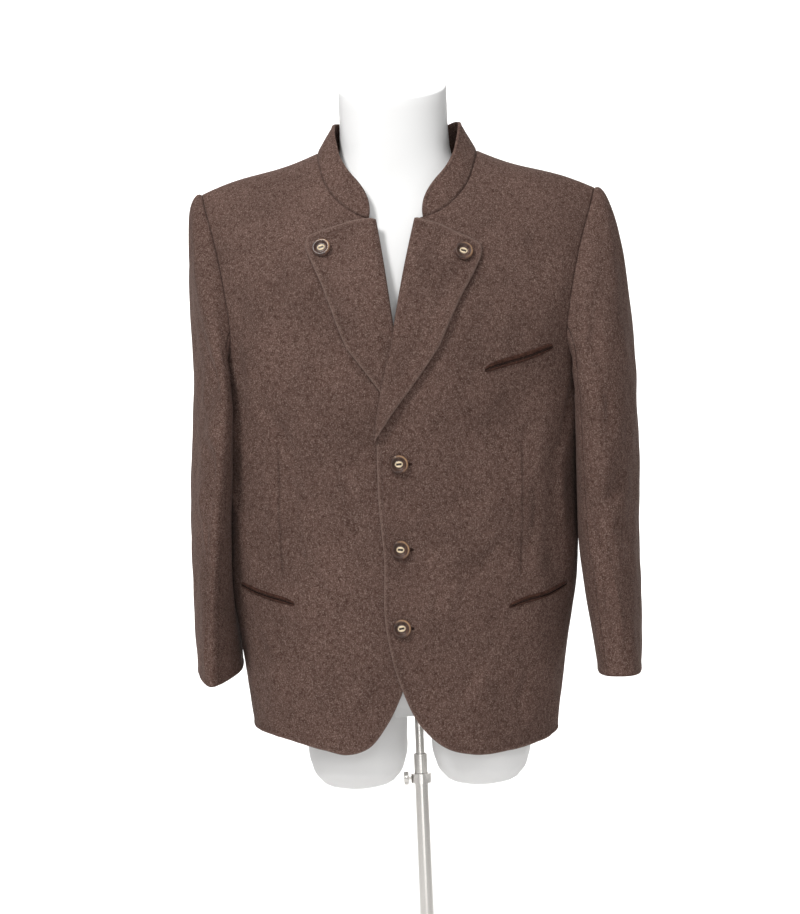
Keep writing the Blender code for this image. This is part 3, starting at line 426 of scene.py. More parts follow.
def nearest(points, starts, ends):
    """Distance of each point to the nearest of the segments."""
    span = ends - starts
    long = np.maximum((span ** 2).sum(-1), 1e-14)
    found = np.empty(len(points))
    for low in range(0, len(points), AT_ONCE):
        rel = points[low:low + AT_ONCE, None, :] - starts[None]
        t = np.clip((rel * span).sum(-1) / long, 0, 1)
        found[low:low + AT_ONCE] = np.linalg.norm(rel - t[..., None] * span, axis=-1).min(axis=1)
    return found


def is_inside(points, outline):
    """Which points lie inside a closed outline."""
    start = outline
    end = np.roll(outline, -1, axis=0)
    rise = np.where(np.abs(end[:, 1] - start[:, 1]) < 1e-12, 1e-12, end[:, 1] - start[:, 1])
    slope = (end[:, 0] - start[:, 0]) / rise
    found = np.empty(len(points), bool)
    for low in range(0, len(points), AT_ONCE):
        p = points[low:low + AT_ONCE]
        crossed = (start[None, :, 1] > p[:, None, 1]) != (end[None, :, 1] > p[:, None, 1])
        x = start[None, :, 0] + (p[:, None, 1] - start[None, :, 1]) * slope[None]
        found[low:low + AT_ONCE] = (crossed & (p[:, None, 0] < x)).sum(axis=1) % 2 == 1
    return found


class Cut:
    """A flat cut in the chart: its rim by kinds of edge, filled with fine triangles."""

    def __init__(self, parts, step, rim_step=RIM_STEP, rings=RIM_RINGS, extra=()):
        lines = []
        self.kinds = []
        for kind, points in parts:
            line = smooth_line(points, rim_step)[:-1]
            lines.append(line)
            self.kinds += [kind] * len(line)
        self.rim = np.concatenate(lines)
        self.ends = np.roll(self.rim, -1, axis=0)
        turning = ((self.rim[:, 0] * self.ends[:, 1]) - (self.rim[:, 1] * self.ends[:, 0])).sum()
        self.fill(step, rings, 1 if turning > 0 else -1, list(extra))

    def fill(self, step, rings, turning, extra):
        """Lay rows of points beside the rim and a lattice between them, and join all to triangles."""
        ahead = self.ends - np.roll(self.rim, 1, axis=0)
        inward = unit(np.column_stack([-ahead[:, 1], ahead[:, 0]]) * turning)
        rows = []
        for depth in rings:
            ring = self.rim + inward * depth
            keep = is_inside(ring, self.rim) & (nearest(ring, self.rim, self.ends) > 0.93 * depth)
            rows.append(ring[keep])
        low = self.rim.min(axis=0)
        high = self.rim.max(axis=0)
        for i, v in enumerate(np.arange(low[1], high[1], step * math.sqrt(3) / 2)):
            us = np.arange(low[0] + step / 2 * (i % 2), high[0], step)
            rows.append(np.column_stack([us, np.full(len(us), v)]))
        lattice = np.concatenate(rows[len(rings):])
        lattice = lattice[is_inside(lattice, self.rim)]
        lattice = lattice[nearest(lattice, self.rim, self.ends) > rings[-1] + 0.4 * step]
        for row in extra:
            gap = np.linalg.norm(lattice[:, None] - row[None], axis=-1).min(axis=1)
            lattice = lattice[gap > ROW_ROOM]
        points = np.concatenate([self.rim] + rows[:len(rings)] + [lattice] + extra)
        n = len(self.rim)
        edges = [(i, (i + 1) % n) for i in range(n)]
        made = delaunay_2d_cdt([Vector(p) for p in points], edges, [], 1, 1e-8)
        self.points = np.array([tuple(p) for p in made[0]])
        if not np.allclose(self.points[:n], self.rim, atol=1e-6):
            raise ValueError("the rim's points changed places")
        self.faces = np.array([tuple(face) for face in made[2]])
        self.rim_count = n

    def far_from(self, *kinds):
        """Distance of every point from the rim's edges of these kinds."""
        chosen = np.array([kind in kinds for kind in self.kinds])
        if not chosen.any():
            return np.full(len(self.points), 1.0)
        return nearest(self.points, self.rim[chosen], self.ends[chosen])


def fold_height(a, b, folds, stretch=1.0, around=None, spread=1.0):
    """Sum of soft uneven folds at a, b. stretch scales b to a, around is a's period, spread widens."""
    total = np.zeros(np.broadcast(a, b).shape)
    for number, (a0, b0, a1, b1, half, height) in enumerate(np.array(folds) / 1000):
        long = math.hypot(a1 - a0, (b1 - b0) * stretch)
        way = ((a1 - a0) / long, (b1 - b0) * stretch / long)
        da = a - a0
        if around:
            da = da - around * np.round((da - (a1 - a0) / 2) / around)
        db = (b - b0) * stretch
        along = (da * way[0] + db * way[1]) / long
        # the line bows a little, and the fold swells and thins along it
        bow = 0.10 * long * np.sin(math.pi * np.clip(along, 0, 1)) * (1 if number % 2 else -1)
        side = -da * way[1] + db * way[0] - bow
        reach = ease(-0.25, 0.30, along) * (1 - ease(0.70, 1.25, along))
        uneven = 1 + 0.25 * np.sin(9.0 * along + 2.1 * number)
        wide = spread * half * (1 + 0.22 * np.sin(6.0 * along + 1.3 * number))
        steep = np.where(side > 0, 1.0, 0.72 + 0.1 * (number % 3))
        total = total + height * reach * uneven * np.exp(-0.5 * (side / (0.62 * wide * steep)) ** 2)
    return total


def unevenness(a, b, scale, seed):
    """Slow small waves that keep cloth from looking machined."""
    p = 2 * math.pi / scale
    return (np.sin(p * a + 1.7 * seed) * np.sin(0.8 * p * b + 0.6 * seed)
            + 0.6 * np.sin(1.9 * p * a - 1.3 * p * b + 2.9 * seed)
            + 0.4 * np.sin(-2.7 * p * a - 2.2 * p * b + 0.7 * seed))


# ================= objects =================

def make_mesh(name, points, faces, flip=False):
    """Smooth mesh of points and faces; flip turns the faces round."""
    faces = [tuple(reversed(f)) for f in faces] if flip else [tuple(f) for f in faces]
    mesh = bpy.data.meshes.new(name)
    mesh.from_pydata([tuple(p) for p in np.asarray(points, float)], [], faces)
    mesh.update()
    mesh.shade_smooth()
    return mesh


def put(name, data, place=(0, 0, 0)):
    """An object in the scene."""
    piece = bpy.data.objects.new(name, data)
    bpy.context.scene.collection.objects.link(piece)
    piece.location = place
    return piece


def show(name, mesh, finish, nodes=(), place=JACKET):
    """Put a mesh in the scene as a piece that rides on the figure and stands for its nodes."""
    piece = put(name, mesh)
    piece.matrix_world = place
    mesh.materials.append(finish)
    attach(piece, "figure")
    if nodes:
        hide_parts(*nodes)
    return piece


def give(mesh, name, values):
    """Store one number for each point, for a material to read."""
    attribute = mesh.attributes.new(name, "FLOAT", "POINT")
    attribute.data.foreach_set("value", np.asarray(values, np.float32))


def shell(name, outer, inner, faces, rim_count, sign, marks):
    """Closed cloth shell from two layers of the same triangles, joined round the rim."""
    n = len(outer)
    points = np.concatenate([outer, inner]) * (sign, 1, 1)
    ring = np.arange(rim_count)
    after = (ring + 1) % rim_count
    sides = np.column_stack([ring, ring + n, after + n, after])
    a, b, c = (outer[faces[:, k]] for k in range(3))
    out_way = outer.mean(axis=0) - inner.mean(axis=0)
    if (np.cross(b - a, c - a).sum(axis=0) * out_way).sum() < 0:
        faces = faces[:, ::-1]
    # the rim's direction must agree with the outer layer's triangles
    edges = {(int(f[k]), int(f[(k + 1) % 3])) for f in faces for k in range(3) if f[k] < rim_count}
    if (0, 1) in edges:
        sides = sides[:, ::-1]
    every = [tuple(f) for f in faces] + [tuple(f[::-1] + n) for f in faces]
    every += [tuple(f) for f in sides[:, ::-1]]
    mesh = make_mesh(name, points, every, flip=sign < 0)
    for key, values in marks.items():
        give(mesh, key, np.concatenate([values, values]))
    return mesh


def grid_faces(rows, columns, closed=False):
    """Faces of a grid of points; closed joins the last column to the first."""
    faces = []
    for i in range(rows - 1):
        for j in range(columns if closed else columns - 1):
            k = (j + 1) % columns
            faces.append((i * columns + j, i * columns + k, (i + 1) * columns + k, (i + 1) * columns + j))
    return faces


def grid_shell(name, outer, inner, sign, marks=None):
    """Closed shell from two grids of places, outer and inner, joined round their rims."""
    rows, columns = outer.shape[:2]
    n = rows * columns
    top = grid_faces(rows, columns)
    under = [tuple(i + n for i in reversed(f)) for f in top]
    index = np.arange(n).reshape(rows, columns)
    ring = np.concatenate([index[0], index[1:, -1], index[-1, -2::-1], index[-2:0:-1, 0]])
    after = np.roll(ring, -1)
    sides = [(int(b), int(a), int(a) + n, int(b) + n) for a, b in zip(ring, after)]
    points = np.concatenate([outer.reshape(-1, 3), inner.reshape(-1, 3)]) * (sign, 1, 1)
    a = outer[0, 0]
    facing = np.cross(outer[0, 1] - a, outer[1, 0] - a) @ (outer[0, 0] - inner[0, 0])
    mesh = make_mesh(name, points, top + under + sides, flip=(facing < 0) != (sign < 0))
    for key, values in (marks or {}).items():
        give(mesh, key, np.concatenate([values.ravel(), values.ravel()]))
    return mesh


# ================= finishes =================

def new_material(name):
    """Empty procedural material with its Principled shader."""
    made = bpy.data.materials.new(name)
    made.use_nodes = True
    return made, made.node_tree, made.node_tree.nodes["Principled BSDF"]


def add_node(tree, kind, **values):
    """A node with its sockets set; _ in a socket's name stands for a space."""
    node = tree.nodes.new(kind)
    fill_in(node, **values)
    return node


def fill_in(node, **values):
    """Set a node's sockets by name."""
    for name, value in values.items():
        node.inputs[name.replace("_", " ")].default_value = value


def mark_of(tree, name):
    """The points' numbers that are stored under a name."""
    node = add_node(tree, "ShaderNodeAttribute")
    node.attribute_name = name
    return node.outputs["Fac"]


def plain(name, color, roughness, metallic=0.0, coat=0.0):
    """A single finish."""
    made, _, shader = new_material(name)
    fill_in(shader, Base_Color=(*color, 1), Roughness=roughness, Metallic=metallic, Coat_Weight=coat)
    return made


def noise_of(tree, scale, detail, roughness, vector, stretch=(1, 1, 1), turn=(0, 0, 0)):
    """Noise at a scale per metre, stretched and turned if asked."""
    if stretch != (1, 1, 1) or turn != (0, 0, 0):
        mapping = add_node(tree, "ShaderNodeMapping", Scale=stretch, Rotation=turn)
        tree.links.new(vector, mapping.inputs["Vector"])
        vector = mapping.outputs["Vector"]
    node = add_node(tree, "ShaderNodeTexNoise", Scale=scale, Detail=detail, Roughness=roughness)
    tree.links.new(vector, node.inputs["Vector"])
    return node.outputs["Fac"]


def remap(tree, value, low, high, to_low=0.0, to_high=1.0):
    """Value stretched from low..high to to_low..to_high."""
    node = add_node(tree, "ShaderNodeMapRange", From_Min=low, From_Max=high, To_Min=to_low, To_Max=to_high)
    tree.links.new(value, node.inputs["Value"])
    return node.outputs["Result"]


def blend(tree, share, first, second, mode="MIX"):
    """Two colours mixed by share; either may be a plain colour."""
    node = add_node(tree, "ShaderNodeMix")
    node.data_type = "RGBA"
    node.blend_type = mode
    if isinstance(share, float):
        node.inputs[0].default_value = share
    else:
        tree.links.new(share, node.inputs[0])
    for socket, value in ((node.inputs[6], first), (node.inputs[7], second)):
        if isinstance(value, tuple):
            socket.default_value = (*value, 1)
        else:
            tree.links.new(value, socket)
    return node.outputs[2]


def wool(name, dark, middle, light, marks=True, relief=0.5):
    """Felted melange wool: dark ground, flecks of light and dark hair, soft raised surface."""
    made, tree, shader = new_material(name)
    place = tree.nodes.new("ShaderNodeTexCoord").outputs["Object"]
    broad = noise_of(tree, 14, 2, 0.5, place)
    mottle = noise_of(tree, 210, 3, 0.65, place)
    fleck = noise_of(tree, 620, 2, 0.6, place)
    hair = noise_of(tree, 900, 2, 0.5, place, (1, 1, 0.28), (0.3, 0.5, 0.2))
    hair_across = noise_of(tree, 900, 2, 0.5, place, (0.28, 1, 1), (0.1, 0.2, 0.6))
    color = blend(tree, remap(tree, mottle, 0.32, 0.70), dark, middle)
    color = blend(tree, remap(tree, fleck, 0.50, 0.78), color, light)
    color = blend(tree, remap(tree, hair, 0.60, 0.80, 0, 0.75), color, light)
    color = blend(tree, remap(tree, hair_across, 0.58, 0.78, 0, 0.65), color, dark)
    color = blend(tree, 1.0, color, remap(tree, broad, 0.3, 0.7, 0.90, 1.10), "MULTIPLY")
    if marks:
        # painted shade: seams, topstitching, the dart, cut edges and pocket slits are darkened where creases
        # and grooves fall into shade
        color = blend(tree, mark_of(tree, "line"), color, tuple(0.35 * c for c in dark))
        # painted highlight along free edges where they catch light, together with lighter wool fuzz
        color = blend(tree, mark_of(tree, "worn"), color, light)
    tree.links.new(color, shader.inputs["Base Color"])
    fill_in(shader, Roughness=0.95, Specular_IOR_Level=0.15, Sheen_Weight=0.10, Sheen_Roughness=0.45,
            Sheen_Tint=(0.62, 0.48, 0.42, 1))
    height = add_node(tree, "ShaderNodeMath")
    height.operation = "ADD"
    tree.links.new(fleck, height.inputs[0])
    tree.links.new(mottle, height.inputs[1])
    bumps = add_node(tree, "ShaderNodeBump", Strength=relief, Distance=0.0006)
    tree.links.new(height.outputs[0], bumps.inputs["Height"])
    tree.links.new(bumps.outputs["Normal"], shader.inputs["Normal"])
    return made


def horn_material():
    """Grey-brown horn with a cream middle and a dark slot across it."""
    made, tree, shader = new_material("horn")
    place = tree.nodes.new("ShaderNodeTexCoord").outputs["Object"]
    streaks = noise_of(tree, 160, 4, 0.6, place, (1, 0.3, 1))
    color = blend(tree, remap(tree, streaks, 0.35, 0.65), (0.030, 0.012, 0.008), (0.110, 0.052, 0.034))
    # the rim tint is slightly lighter all round and carries a painted highlight: a light crescent on one side
    tints = (("rim", (0.560, 0.330, 0.170)), ("boss", (0.820, 0.660, 0.450)), ("slot", (0.014, 0.007, 0.005)))
    for name, tint in tints:
        color = blend(tree, mark_of(tree, name), color, tint)
    tree.links.new(color, shader.inputs["Base Color"])
    fill_in(shader, Roughness=0.44, Coat_Weight=0.06)
    return made


LODEN = wool("loden", (0.054, 0.0275, 0.0203), (0.122, 0.0735, 0.0605), (0.255, 0.180, 0.152))
BRAID = wool("piping", (0.022, 0.009, 0.006), (0.060, 0.026, 0.018), (0.110, 0.052, 0.038), relief=0.8)
THREAD = wool("thread", (0.014, 0.007, 0.005), (0.034, 0.016, 0.012), (0.060, 0.030, 0.022), False, 0.8)
HORN = horn_material()
FORM_WHITE = plain("form_white", (0.82, 0.82, 0.815), 0.55, coat=0.04)
STEEL = plain("steel", (0.72, 0.70, 0.67), 0.24, 1.0)
PLATE = plain("plate", (0.68, 0.67, 0.65), 0.38, 1.0)


# ================= body panels =================

def armhole(behind):
    """Chart points of the armhole, from the shoulder seam down to the armpit."""
    rows = BACK_ARMHOLE_ROWS if behind else ARMHOLE_ROWS
    top = chart(SHOULDER_X, ridge(SHOULDER_X))
    bend = (SIDE_U - ARMPIT_BEND[0], ARMPIT_Z + ARMPIT_BEND[1])
    return np.vstack([top, charted(rows), bend, (SIDE_U, ARMPIT_Z)])


def neckline(behind):
    """Chart points of the neck seam, from the middle up to the shoulder seam."""
    rows = BACK_NECK_ROWS if behind else NECK_ROWS
    return np.vstack([charted(rows), chart(NECK_X, ridge(NECK_X))])


def front_parts(side):
    """A front's rim, edge by edge."""
    spec = FRONTS[side]
    fold = charted(spec["fold"])
    arm = armhole(False)
    neck = neckline(False)
    side_hem = (SIDE_U, spec["side_hem"])
    front = np.vstack([fold[0], charted(spec["edge"]), side_hem])
    return (
        ("edge", front),
        ("side", [side_hem, (SIDE_U, ARMPIT_Z)]),
        ("arm", arm[::-1]),
        ("shoulder", [arm[0], neck[-1]]),
        ("neck", np.vstack([fold[-1], neck])[::-1]),
        ("fold", fold[::-1]),
    )


def back_parts(side):
    """One back half's rim, edge by edge."""
    arm = armhole(True)
    neck = neckline(True)
    side_hem = (SIDE_U, FRONTS[side]["side_hem"])
    hem = [(0, BACK_HEM_Z), (SIDE_U / 2, BACK_HEM_Z + 0.001), side_hem]
    return (
        ("hem", hem),
        ("side", [side_hem, (SIDE_U, ARMPIT_Z)]),
        ("arm", arm[::-1]),
        ("shoulder", [arm[0], neck[-1]]),
        ("neck", neck[::-1]),
        ("middle", [neck[0], (0, BACK_HEM_Z)]),
    )


def arm_limit(behind):
    """Level by level, how far out the panel reaches: the side seam, then the armhole."""
    line = smooth_line(armhole(behind), 0.004)[::-1]
    return np.concatenate([[0.4], line[:, 1]]), np.concatenate([[SIDE_U], line[:, 0]])


LIMITS = {False: arm_limit(False), True: arm_limit(True)}


def relief(side, u, v, behind=False):
    """Height of the folds of a body panel; it dies out towards the seams."""
    folds = (BACK_FOLDS if behind else FRONT_FOLDS)[side]
    seed = (1 if side == "left" else 4) + (7 if behind else 0)
    total = fold_height(u, v, folds)
    total = total + 0.00045 * unevenness(u, v, 0.16, seed) + 0.00020 * unevenness(u, v, 0.055, seed + 2)
    levels, reaches = LIMITS[behind]
    out = np.interp(v, levels, reaches)
    fade = ease(0, 0.030, out - u) * (1 - ease(1.10, 1.22, v))
    near_middle = ease(0, 0.030, u) if behind else ease(-0.005, 0.055, u)
    return FOLD_SCALE * total * fade * near_middle


def side_seam_hang(u, v, behind):
    """The skirt's folds cross the side seam, so that front and back move together there."""
    low = 1 - ease(0.60, 0.80, v)
    sway = 0.0022 * np.sin((SIDE_U - u) * 34.0 * (-1 if behind else 1) + 0.6)
    return sway * low * (1 - ease(0.0, 0.09, SIDE_U - u))


def edge_profile(depth, thickness):
    """Outer and inner heights taken off near a free edge to round it, and the roll added behind it."""
    off = 0.46 * thickness * (1 - np.clip(depth / 0.0016, 0, 1)) ** 2
    roll = EDGE_ROLL * ease(0.0, 0.0022, depth) * (1 - ease(0.0030, 0.0105, depth))
    return off, roll


def stitching(depth):
    """Groove of a row of topstitching, and the painted shade of that groove."""
    row = bump(np.abs(depth - STITCH_IN), 2 * STITCH_HALF)
    return STITCH_DEPTH * row, 0.14 * row


def edge_fuzz_and_highlight(depth):
    """How far a free edge is lightened: a painted highlight where the edge catches light, together with
    lighter wool fuzz.
    """
    return EDGE_FUZZ_AND_HIGHLIGHT * (1 - ease(0.0010, 0.0026, depth))


def dart_rows():
    """Points on and beside the dart, so that the mesh holds it."""
    levels = np.arange(DART_V[0], DART_V[1], 0.004)
    beside = (-0.0030, -0.0013, 0, 0.0013, 0.0030)
    return [np.column_stack([np.full(len(levels), DART_U + off), levels]) for off in beside]


def dart(u, v):
    """The dart's narrow valley: its share of depth at each point."""
    ends = ease(DART_V[0] - 0.004, DART_V[0] + 0.02, v) * (1 - ease(DART_V[1] - 0.05, DART_V[1], v))
    return bump(np.abs(u - DART_U), 0.0024) * ends


def hang(side, u, v, behind=False):
    """Everything that moves a body panel off the charted surface."""
    total = relief(side, u, v, behind) + side_seam_hang(u, v, behind)
    return total if behind else total + lap_lift(side, u, v)


def add_cloth(node, cut, outer, inner, sign, **marks):
    """Show a cut as a shell of loden that stands for its node."""
    mesh = shell(node, outer, inner, cut.faces, cut.rim_count, sign, marks)
    return show("cloth_" + node, mesh, LODEN, [node])


def add_front(side):
    """One front as a fine shell."""
    sign = FRONTS[side]["sign"]
    cut = Cut(front_parts(side), FINE_STEP, extra=dart_rows())
    u, v = cut.points.T
    free = cut.far_from("edge", "fold")
    seam = cut.far_from("side", "arm", "shoulder", "neck")
    off, roll = edge_profile(free, CLOTH)
    groove, stitch_shade = stitching(cut.far_from("edge"))
    sink = SEAM_DEPTH * (1 - ease(0, SEAM_HALF, seam))
    base = hang(side, u, v)
    pinch = 0.0006 * dart(u, v)
    outer = raised(u, v, base + CLOTH + roll - off - groove - sink - pinch)
    inner = raised(u, v, base + off)
    # line is painted shade along the topstitching, the seams and the dart's valley
    line = np.clip(stitch_shade + 0.55 * bump(seam, 0.0012) + 0.42 * dart(u, v), 0, 1)
    # the front's free edge gets a painted highlight with lighter fuzz
    return add_cloth("front_" + side, cut, outer, inner, sign, line=line, worn=edge_fuzz_and_highlight(cut.far_from("edge")))


def add_back(side):
    """One back half as a fine shell."""
    sign = FRONTS[side]["sign"]
    cut = Cut(back_parts(side), FINE_STEP)
    u, v = cut.points.T
    seam = cut.far_from("side", "arm", "shoulder", "neck", "middle")
    off, roll = edge_profile(cut.far_from("hem"), CLOTH)
    sink = SEAM_DEPTH * (1 - ease(0, SEAM_HALF, seam))
    base = hang(side, u, v, True)
    outer = raised(u, v, base + CLOTH + roll - off - sink, True)
    inner = raised(u, v, base + off, True)
    # line is painted shade along the seams
    return add_cloth("back_" + side, cut, outer, inner, sign, line=0.55 * bump(seam, 0.0012))


# ================= lapels =================

LAPEL_ROLL = 0.0026        # the soft roll's rise behind the fold
LAPEL_EDGE_LIFT = 0.0036   # the outer edge stands off the front


def lapel_parts(side):
    """A lapel's rim: its fold, then its cut edge."""
    spec = FRONTS[side]
    fold = charted(spec["fold"])
    fold[:, 0] -= FOLD_OVERHANG
    rim = np.vstack([fold[-1], charted(spec["lapel_top"] + spec["lapel_tip"] + spec["lapel_outer"]), fold[0]])
    return (("fold", fold), ("edge", rim))


def lapel_base(side, u, v, from_fold, from_edge):
    """Height of a lapel's underside off the front's inner face."""
    roll = LAPEL_ROLL * ease(0, 0.007, from_fold) * (1 - ease(0.008, 0.034, from_fold))
    lower = 1 - ease(0.98, 1.10, v)
    edge = LAPEL_EDGE_LIFT * (0.55 + 0.45 * lower) * (1 - ease(0, 0.022, from_edge))
    if side == "right":
        edge = edge * ease(0.004, 0.024, u)
        roll = roll * ease(0.004, 0.024, u)
    waves = 0.0004 * unevenness(u, v, 0.07, 3 if side == "left" else 5)
    return hang(side, u, v) + CLOTH + LAY_GAP + roll + edge + waves * ease(0, 0.01, from_fold)


def add_lapel(side):
    """One lapel, rolled at its fold and lying on its front."""
    sign = FRONTS[side]["sign"]
    cut = Cut(lapel_parts(side), LAPEL_STEP, rim_step=0.0026)
    u, v = cut.points.T
    from_fold = cut.far_from("fold")
    from_edge = cut.far_from("edge")
    base = lapel_base(side, u, v, from_fold, from_edge)
    off, roll = edge_profile(from_edge, LAPEL_CLOTH)
    groove, stitch_shade = stitching(from_edge)
    # round the fold itself down over the front's own edge
    over = 1 - np.clip(from_fold / 0.0026, 0, 1)
    drop = over ** 2
    front_inner = hang(side, u, v)
    outer = raised(u, v, base + LAPEL_CLOTH + roll - off - groove - 0.0022 * drop)
    inner_height = base + off
    inner_height = inner_height + (front_inner + 0.0006 - inner_height) * ease(0, 0.35, over)
    inner = raised(u, v, inner_height)
    # line is painted shade along the topstitching and a painted shadow under the cut edge
    line = np.clip(stitch_shade + 0.6 * (1 - ease(0.0, 0.0006, from_edge)), 0, 1)
    # the lapel's cut edge gets a painted highlight with lighter fuzz
    return add_cloth("lapel_" + side, cut, outer, inner, sign, line=line, worn=edge_fuzz_and_highlight(from_edge))


# ================= collar =================

class NeckBand:
    """The collar's own chart: run along the neck seam from the left end, and height up the band."""

    def __init__(self):
        front = smooth_line(neckline(False), 0.002)
        rear = smooth_line(neckline(True)[::-1], 0.002)
        half = np.concatenate([
            raised(*front.T, np.full(len(front), COLLAR_LIFT)),
            raised(*rear.T, np.full(len(rear), COLLAR_LIFT), behind=True)[1:],
        ])
        half[-1, 0] = 0
        half = smooth_line(half, 0.004)
        base = np.concatenate([half, half[-2::-1] * (-1, 1, 1)])
        for _ in range(6):
            base[1:-1] = (base[:-2] + 2 * base[1:-1] + base[2:]) / 4
        self.base = base
        self.run = run_of(base)
        self.long = self.run[-1]
        to_axis = unit(np.column_stack([-base[:, 0], NECK_AXIS_Y - base[:, 1]]))
        facing = to_axis[:, 1]
        lean = COLLAR_LEAN_SIDE + (COLLAR_LEAN_FRONT - COLLAR_LEAN_SIDE) * np.clip(facing, 0, 1) ** 2
        lean = lean + (COLLAR_LEAN_BACK - COLLAR_LEAN_SIDE) * np.clip(-facing, 0, 1) ** 2
        self.way = unit(np.column_stack([to_axis * lean[:, None], np.ones(len(base))]))

    def height(self, run):
        """How tall the band is at run: its ends are round."""
        end = np.minimum(run, self.long - run)
        share = np.clip(1 - end / COLLAR_END_ROUND, 0, 1)
        return COLLAR_HEIGHT * np.maximum(1 - share ** COLLAR_END_POWER, 0) ** (1 / COLLAR_END_POWER)

    def place(self, run, up):
        """Place of the middle surface."""
        return read_at(run, self.run, self.base) + unit(read_at(run, self.run, self.way)) * up[:, None]

    def raised(self, run, up, height):
        """Place moved outwards by height."""
        step = 0.002
        along = self.place(run + step, up) - self.place(run - step, up)
        rise = self.place(run, up + step) - self.place(run, up - step)
        normal = unit(np.cross(along, rise))
        outside = self.place(run, up) - (0, NECK_AXIS_Y, 0)
        normal *= np.sign((normal[:, :2] * outside[:, :2]).sum(axis=1))[:, None]
        return self.place(run, up) + normal * height[:, None]


def add_collar():
    """The stand collar as one band with round ends."""
    band = NeckBand()
    runs = np.linspace(0, band.long, 241)
    end = np.array([0, 0.0002, 0.0008, 0.002, 0.0035, 0.0055])
    inside = (runs > 0.007) & (runs < band.long - 0.007)
    runs = np.concatenate([end, runs[inside], band.long - end[::-1]])
    top = np.column_stack([runs, band.height(runs)])
    cut = Cut((("neck", [(0, -0.0010), (band.long, -0.0010)]), ("edge", top[::-1])), 0.0040, rim_step=0.0028)
    run, up = cut.points.T
    from_edge = cut.far_from("edge")
    off, roll = edge_profile(from_edge, COLLAR_CLOTH)
    groove, stitch_shade = stitching(from_edge)
    waves = 0.0005 * unevenness(run, up, 0.11, 2) * ease(0, 0.02, up)
    tuck = 0.0011 * (1 - ease(-0.001, 0.0025, up))
    half = COLLAR_CLOTH / 2
    outer = band.raised(run, up, half + roll - off - groove - tuck + waves)
    inner = band.raised(run, up, -half + off + waves)
    # line is painted shade along the topstitching and along the neck seam at the band's foot
    line = np.clip(stitch_shade + 0.35 * bump(up, 0.0016), 0, 1)
    return add_cloth("collar", cut, outer, inner, 1, line=line)


# ================= sleeves =================

def armhole_ring(turns):
    """Places of the sleeve's seam edge, by turns from the shoulder round the front and under the arm."""
    lines = []
    for behind in (False, True):
        line = smooth_line(armhole(behind), 0.002)
        slope = np.gradient(line, axis=0)
        moved = line + unit(np.column_stack([-slope[:, 1], slope[:, 0]])) * SLEEVE_OUT
        edge = np.stack([np.minimum(moved[:, 0], SIDE_U), np.minimum(moved[:, 1], TOP_V)], axis=1)
        run = run_of(edge)
        under = np.clip(-np.cos(math.pi * run / run[-1]), 0, 1) ** 0.5
        places = raised(*edge.T, SLEEVE_LIFT + SLEEVE_UNDER_LIFT * under, behind)
        run = run_of(places)
        lines.append((run / run[-1] / 2, places))
    turns = np.mod(turns, 1)
    return np.where((turns <= 0.5)[:, None], read_at(turns, *lines[0]), read_at(1 - turns, *lines[1]))


def body_side_x(y, z):
    """x of the body's outer face at y and z."""
    half, front, rear = through(BODY_ROWS, z)
    share = np.clip(np.abs(y) / np.where(y < 0, front, rear), 0, 1)
    return half * (1 - share ** ROUNDNESS) ** (1 / ROUNDNESS) + CLOTH


def arm_ring(side, turns, z):
    """Places of the sleeve tube's ring at z, pressed aside where the body is."""
    x0, y0, half, deep, turn, drop, wedge, power = through(SLEEVES[side][::-1], np.full(len(turns), z))
    angle = 2 * math.pi * turns
    turn = np.radians(turn)
    cos, sin = np.cos(angle), np.sin(angle)
    across = half * np.sign(cos) * np.abs(cos) ** (2 / power) * (1 - wedge * sin)
    along = -deep * np.sign(sin) * np.abs(sin) ** (2 / power)
    x = x0 + across * np.cos(turn) + along * np.sin(turn)
    y = y0 - across * np.sin(turn) + along * np.cos(turn)
    level = z - drop * np.sin(angle)
    least = body_side_x(y, level) + SLEEVE_CLEARANCE
    x = (x + least + np.sqrt((x - least) ** 2 + SLEEVE_PRESS ** 2)) / 2
    return np.stack([x, y, level], axis=-1)


# Directions in which the sleeve leaves the armhole, and the shares of the way that it keeps them.
CAP_SIDE_WAY = np.array([0.45, 0, -0.75])
CAP_TOP_TURN = np.array([0.54, 0, 0.63])
CAP_UNDER_TURN = np.array([-0.35, 0, -0.25])
CAP_FRONT_TURN = np.array([0, -0.50, 0])
CAP_KEEP_SIDE = 0.33
CAP_KEEP_TOP = 0.12
CAP_KEEP_END = 0.35


def cap_start(turns):
    """Unit directions in which the sleeve leaves the armhole, and how far it keeps them."""
    angle = 2 * math.pi * np.asarray(turns)[:, None]
    top = np.clip(np.cos(angle), 0, 1) ** 2
    under = np.clip(-np.cos(angle), 0, 1) ** 2
    way = CAP_SIDE_WAY + CAP_TOP_TURN * top + CAP_UNDER_TURN * under + CAP_FRONT_TURN * np.sin(angle)
    return unit(way), CAP_KEEP_SIDE - (CAP_KEEP_SIDE - CAP_KEEP_TOP) * top


CAP_SHARE = 0.45           # of a sleeve's level, up to its table's top row


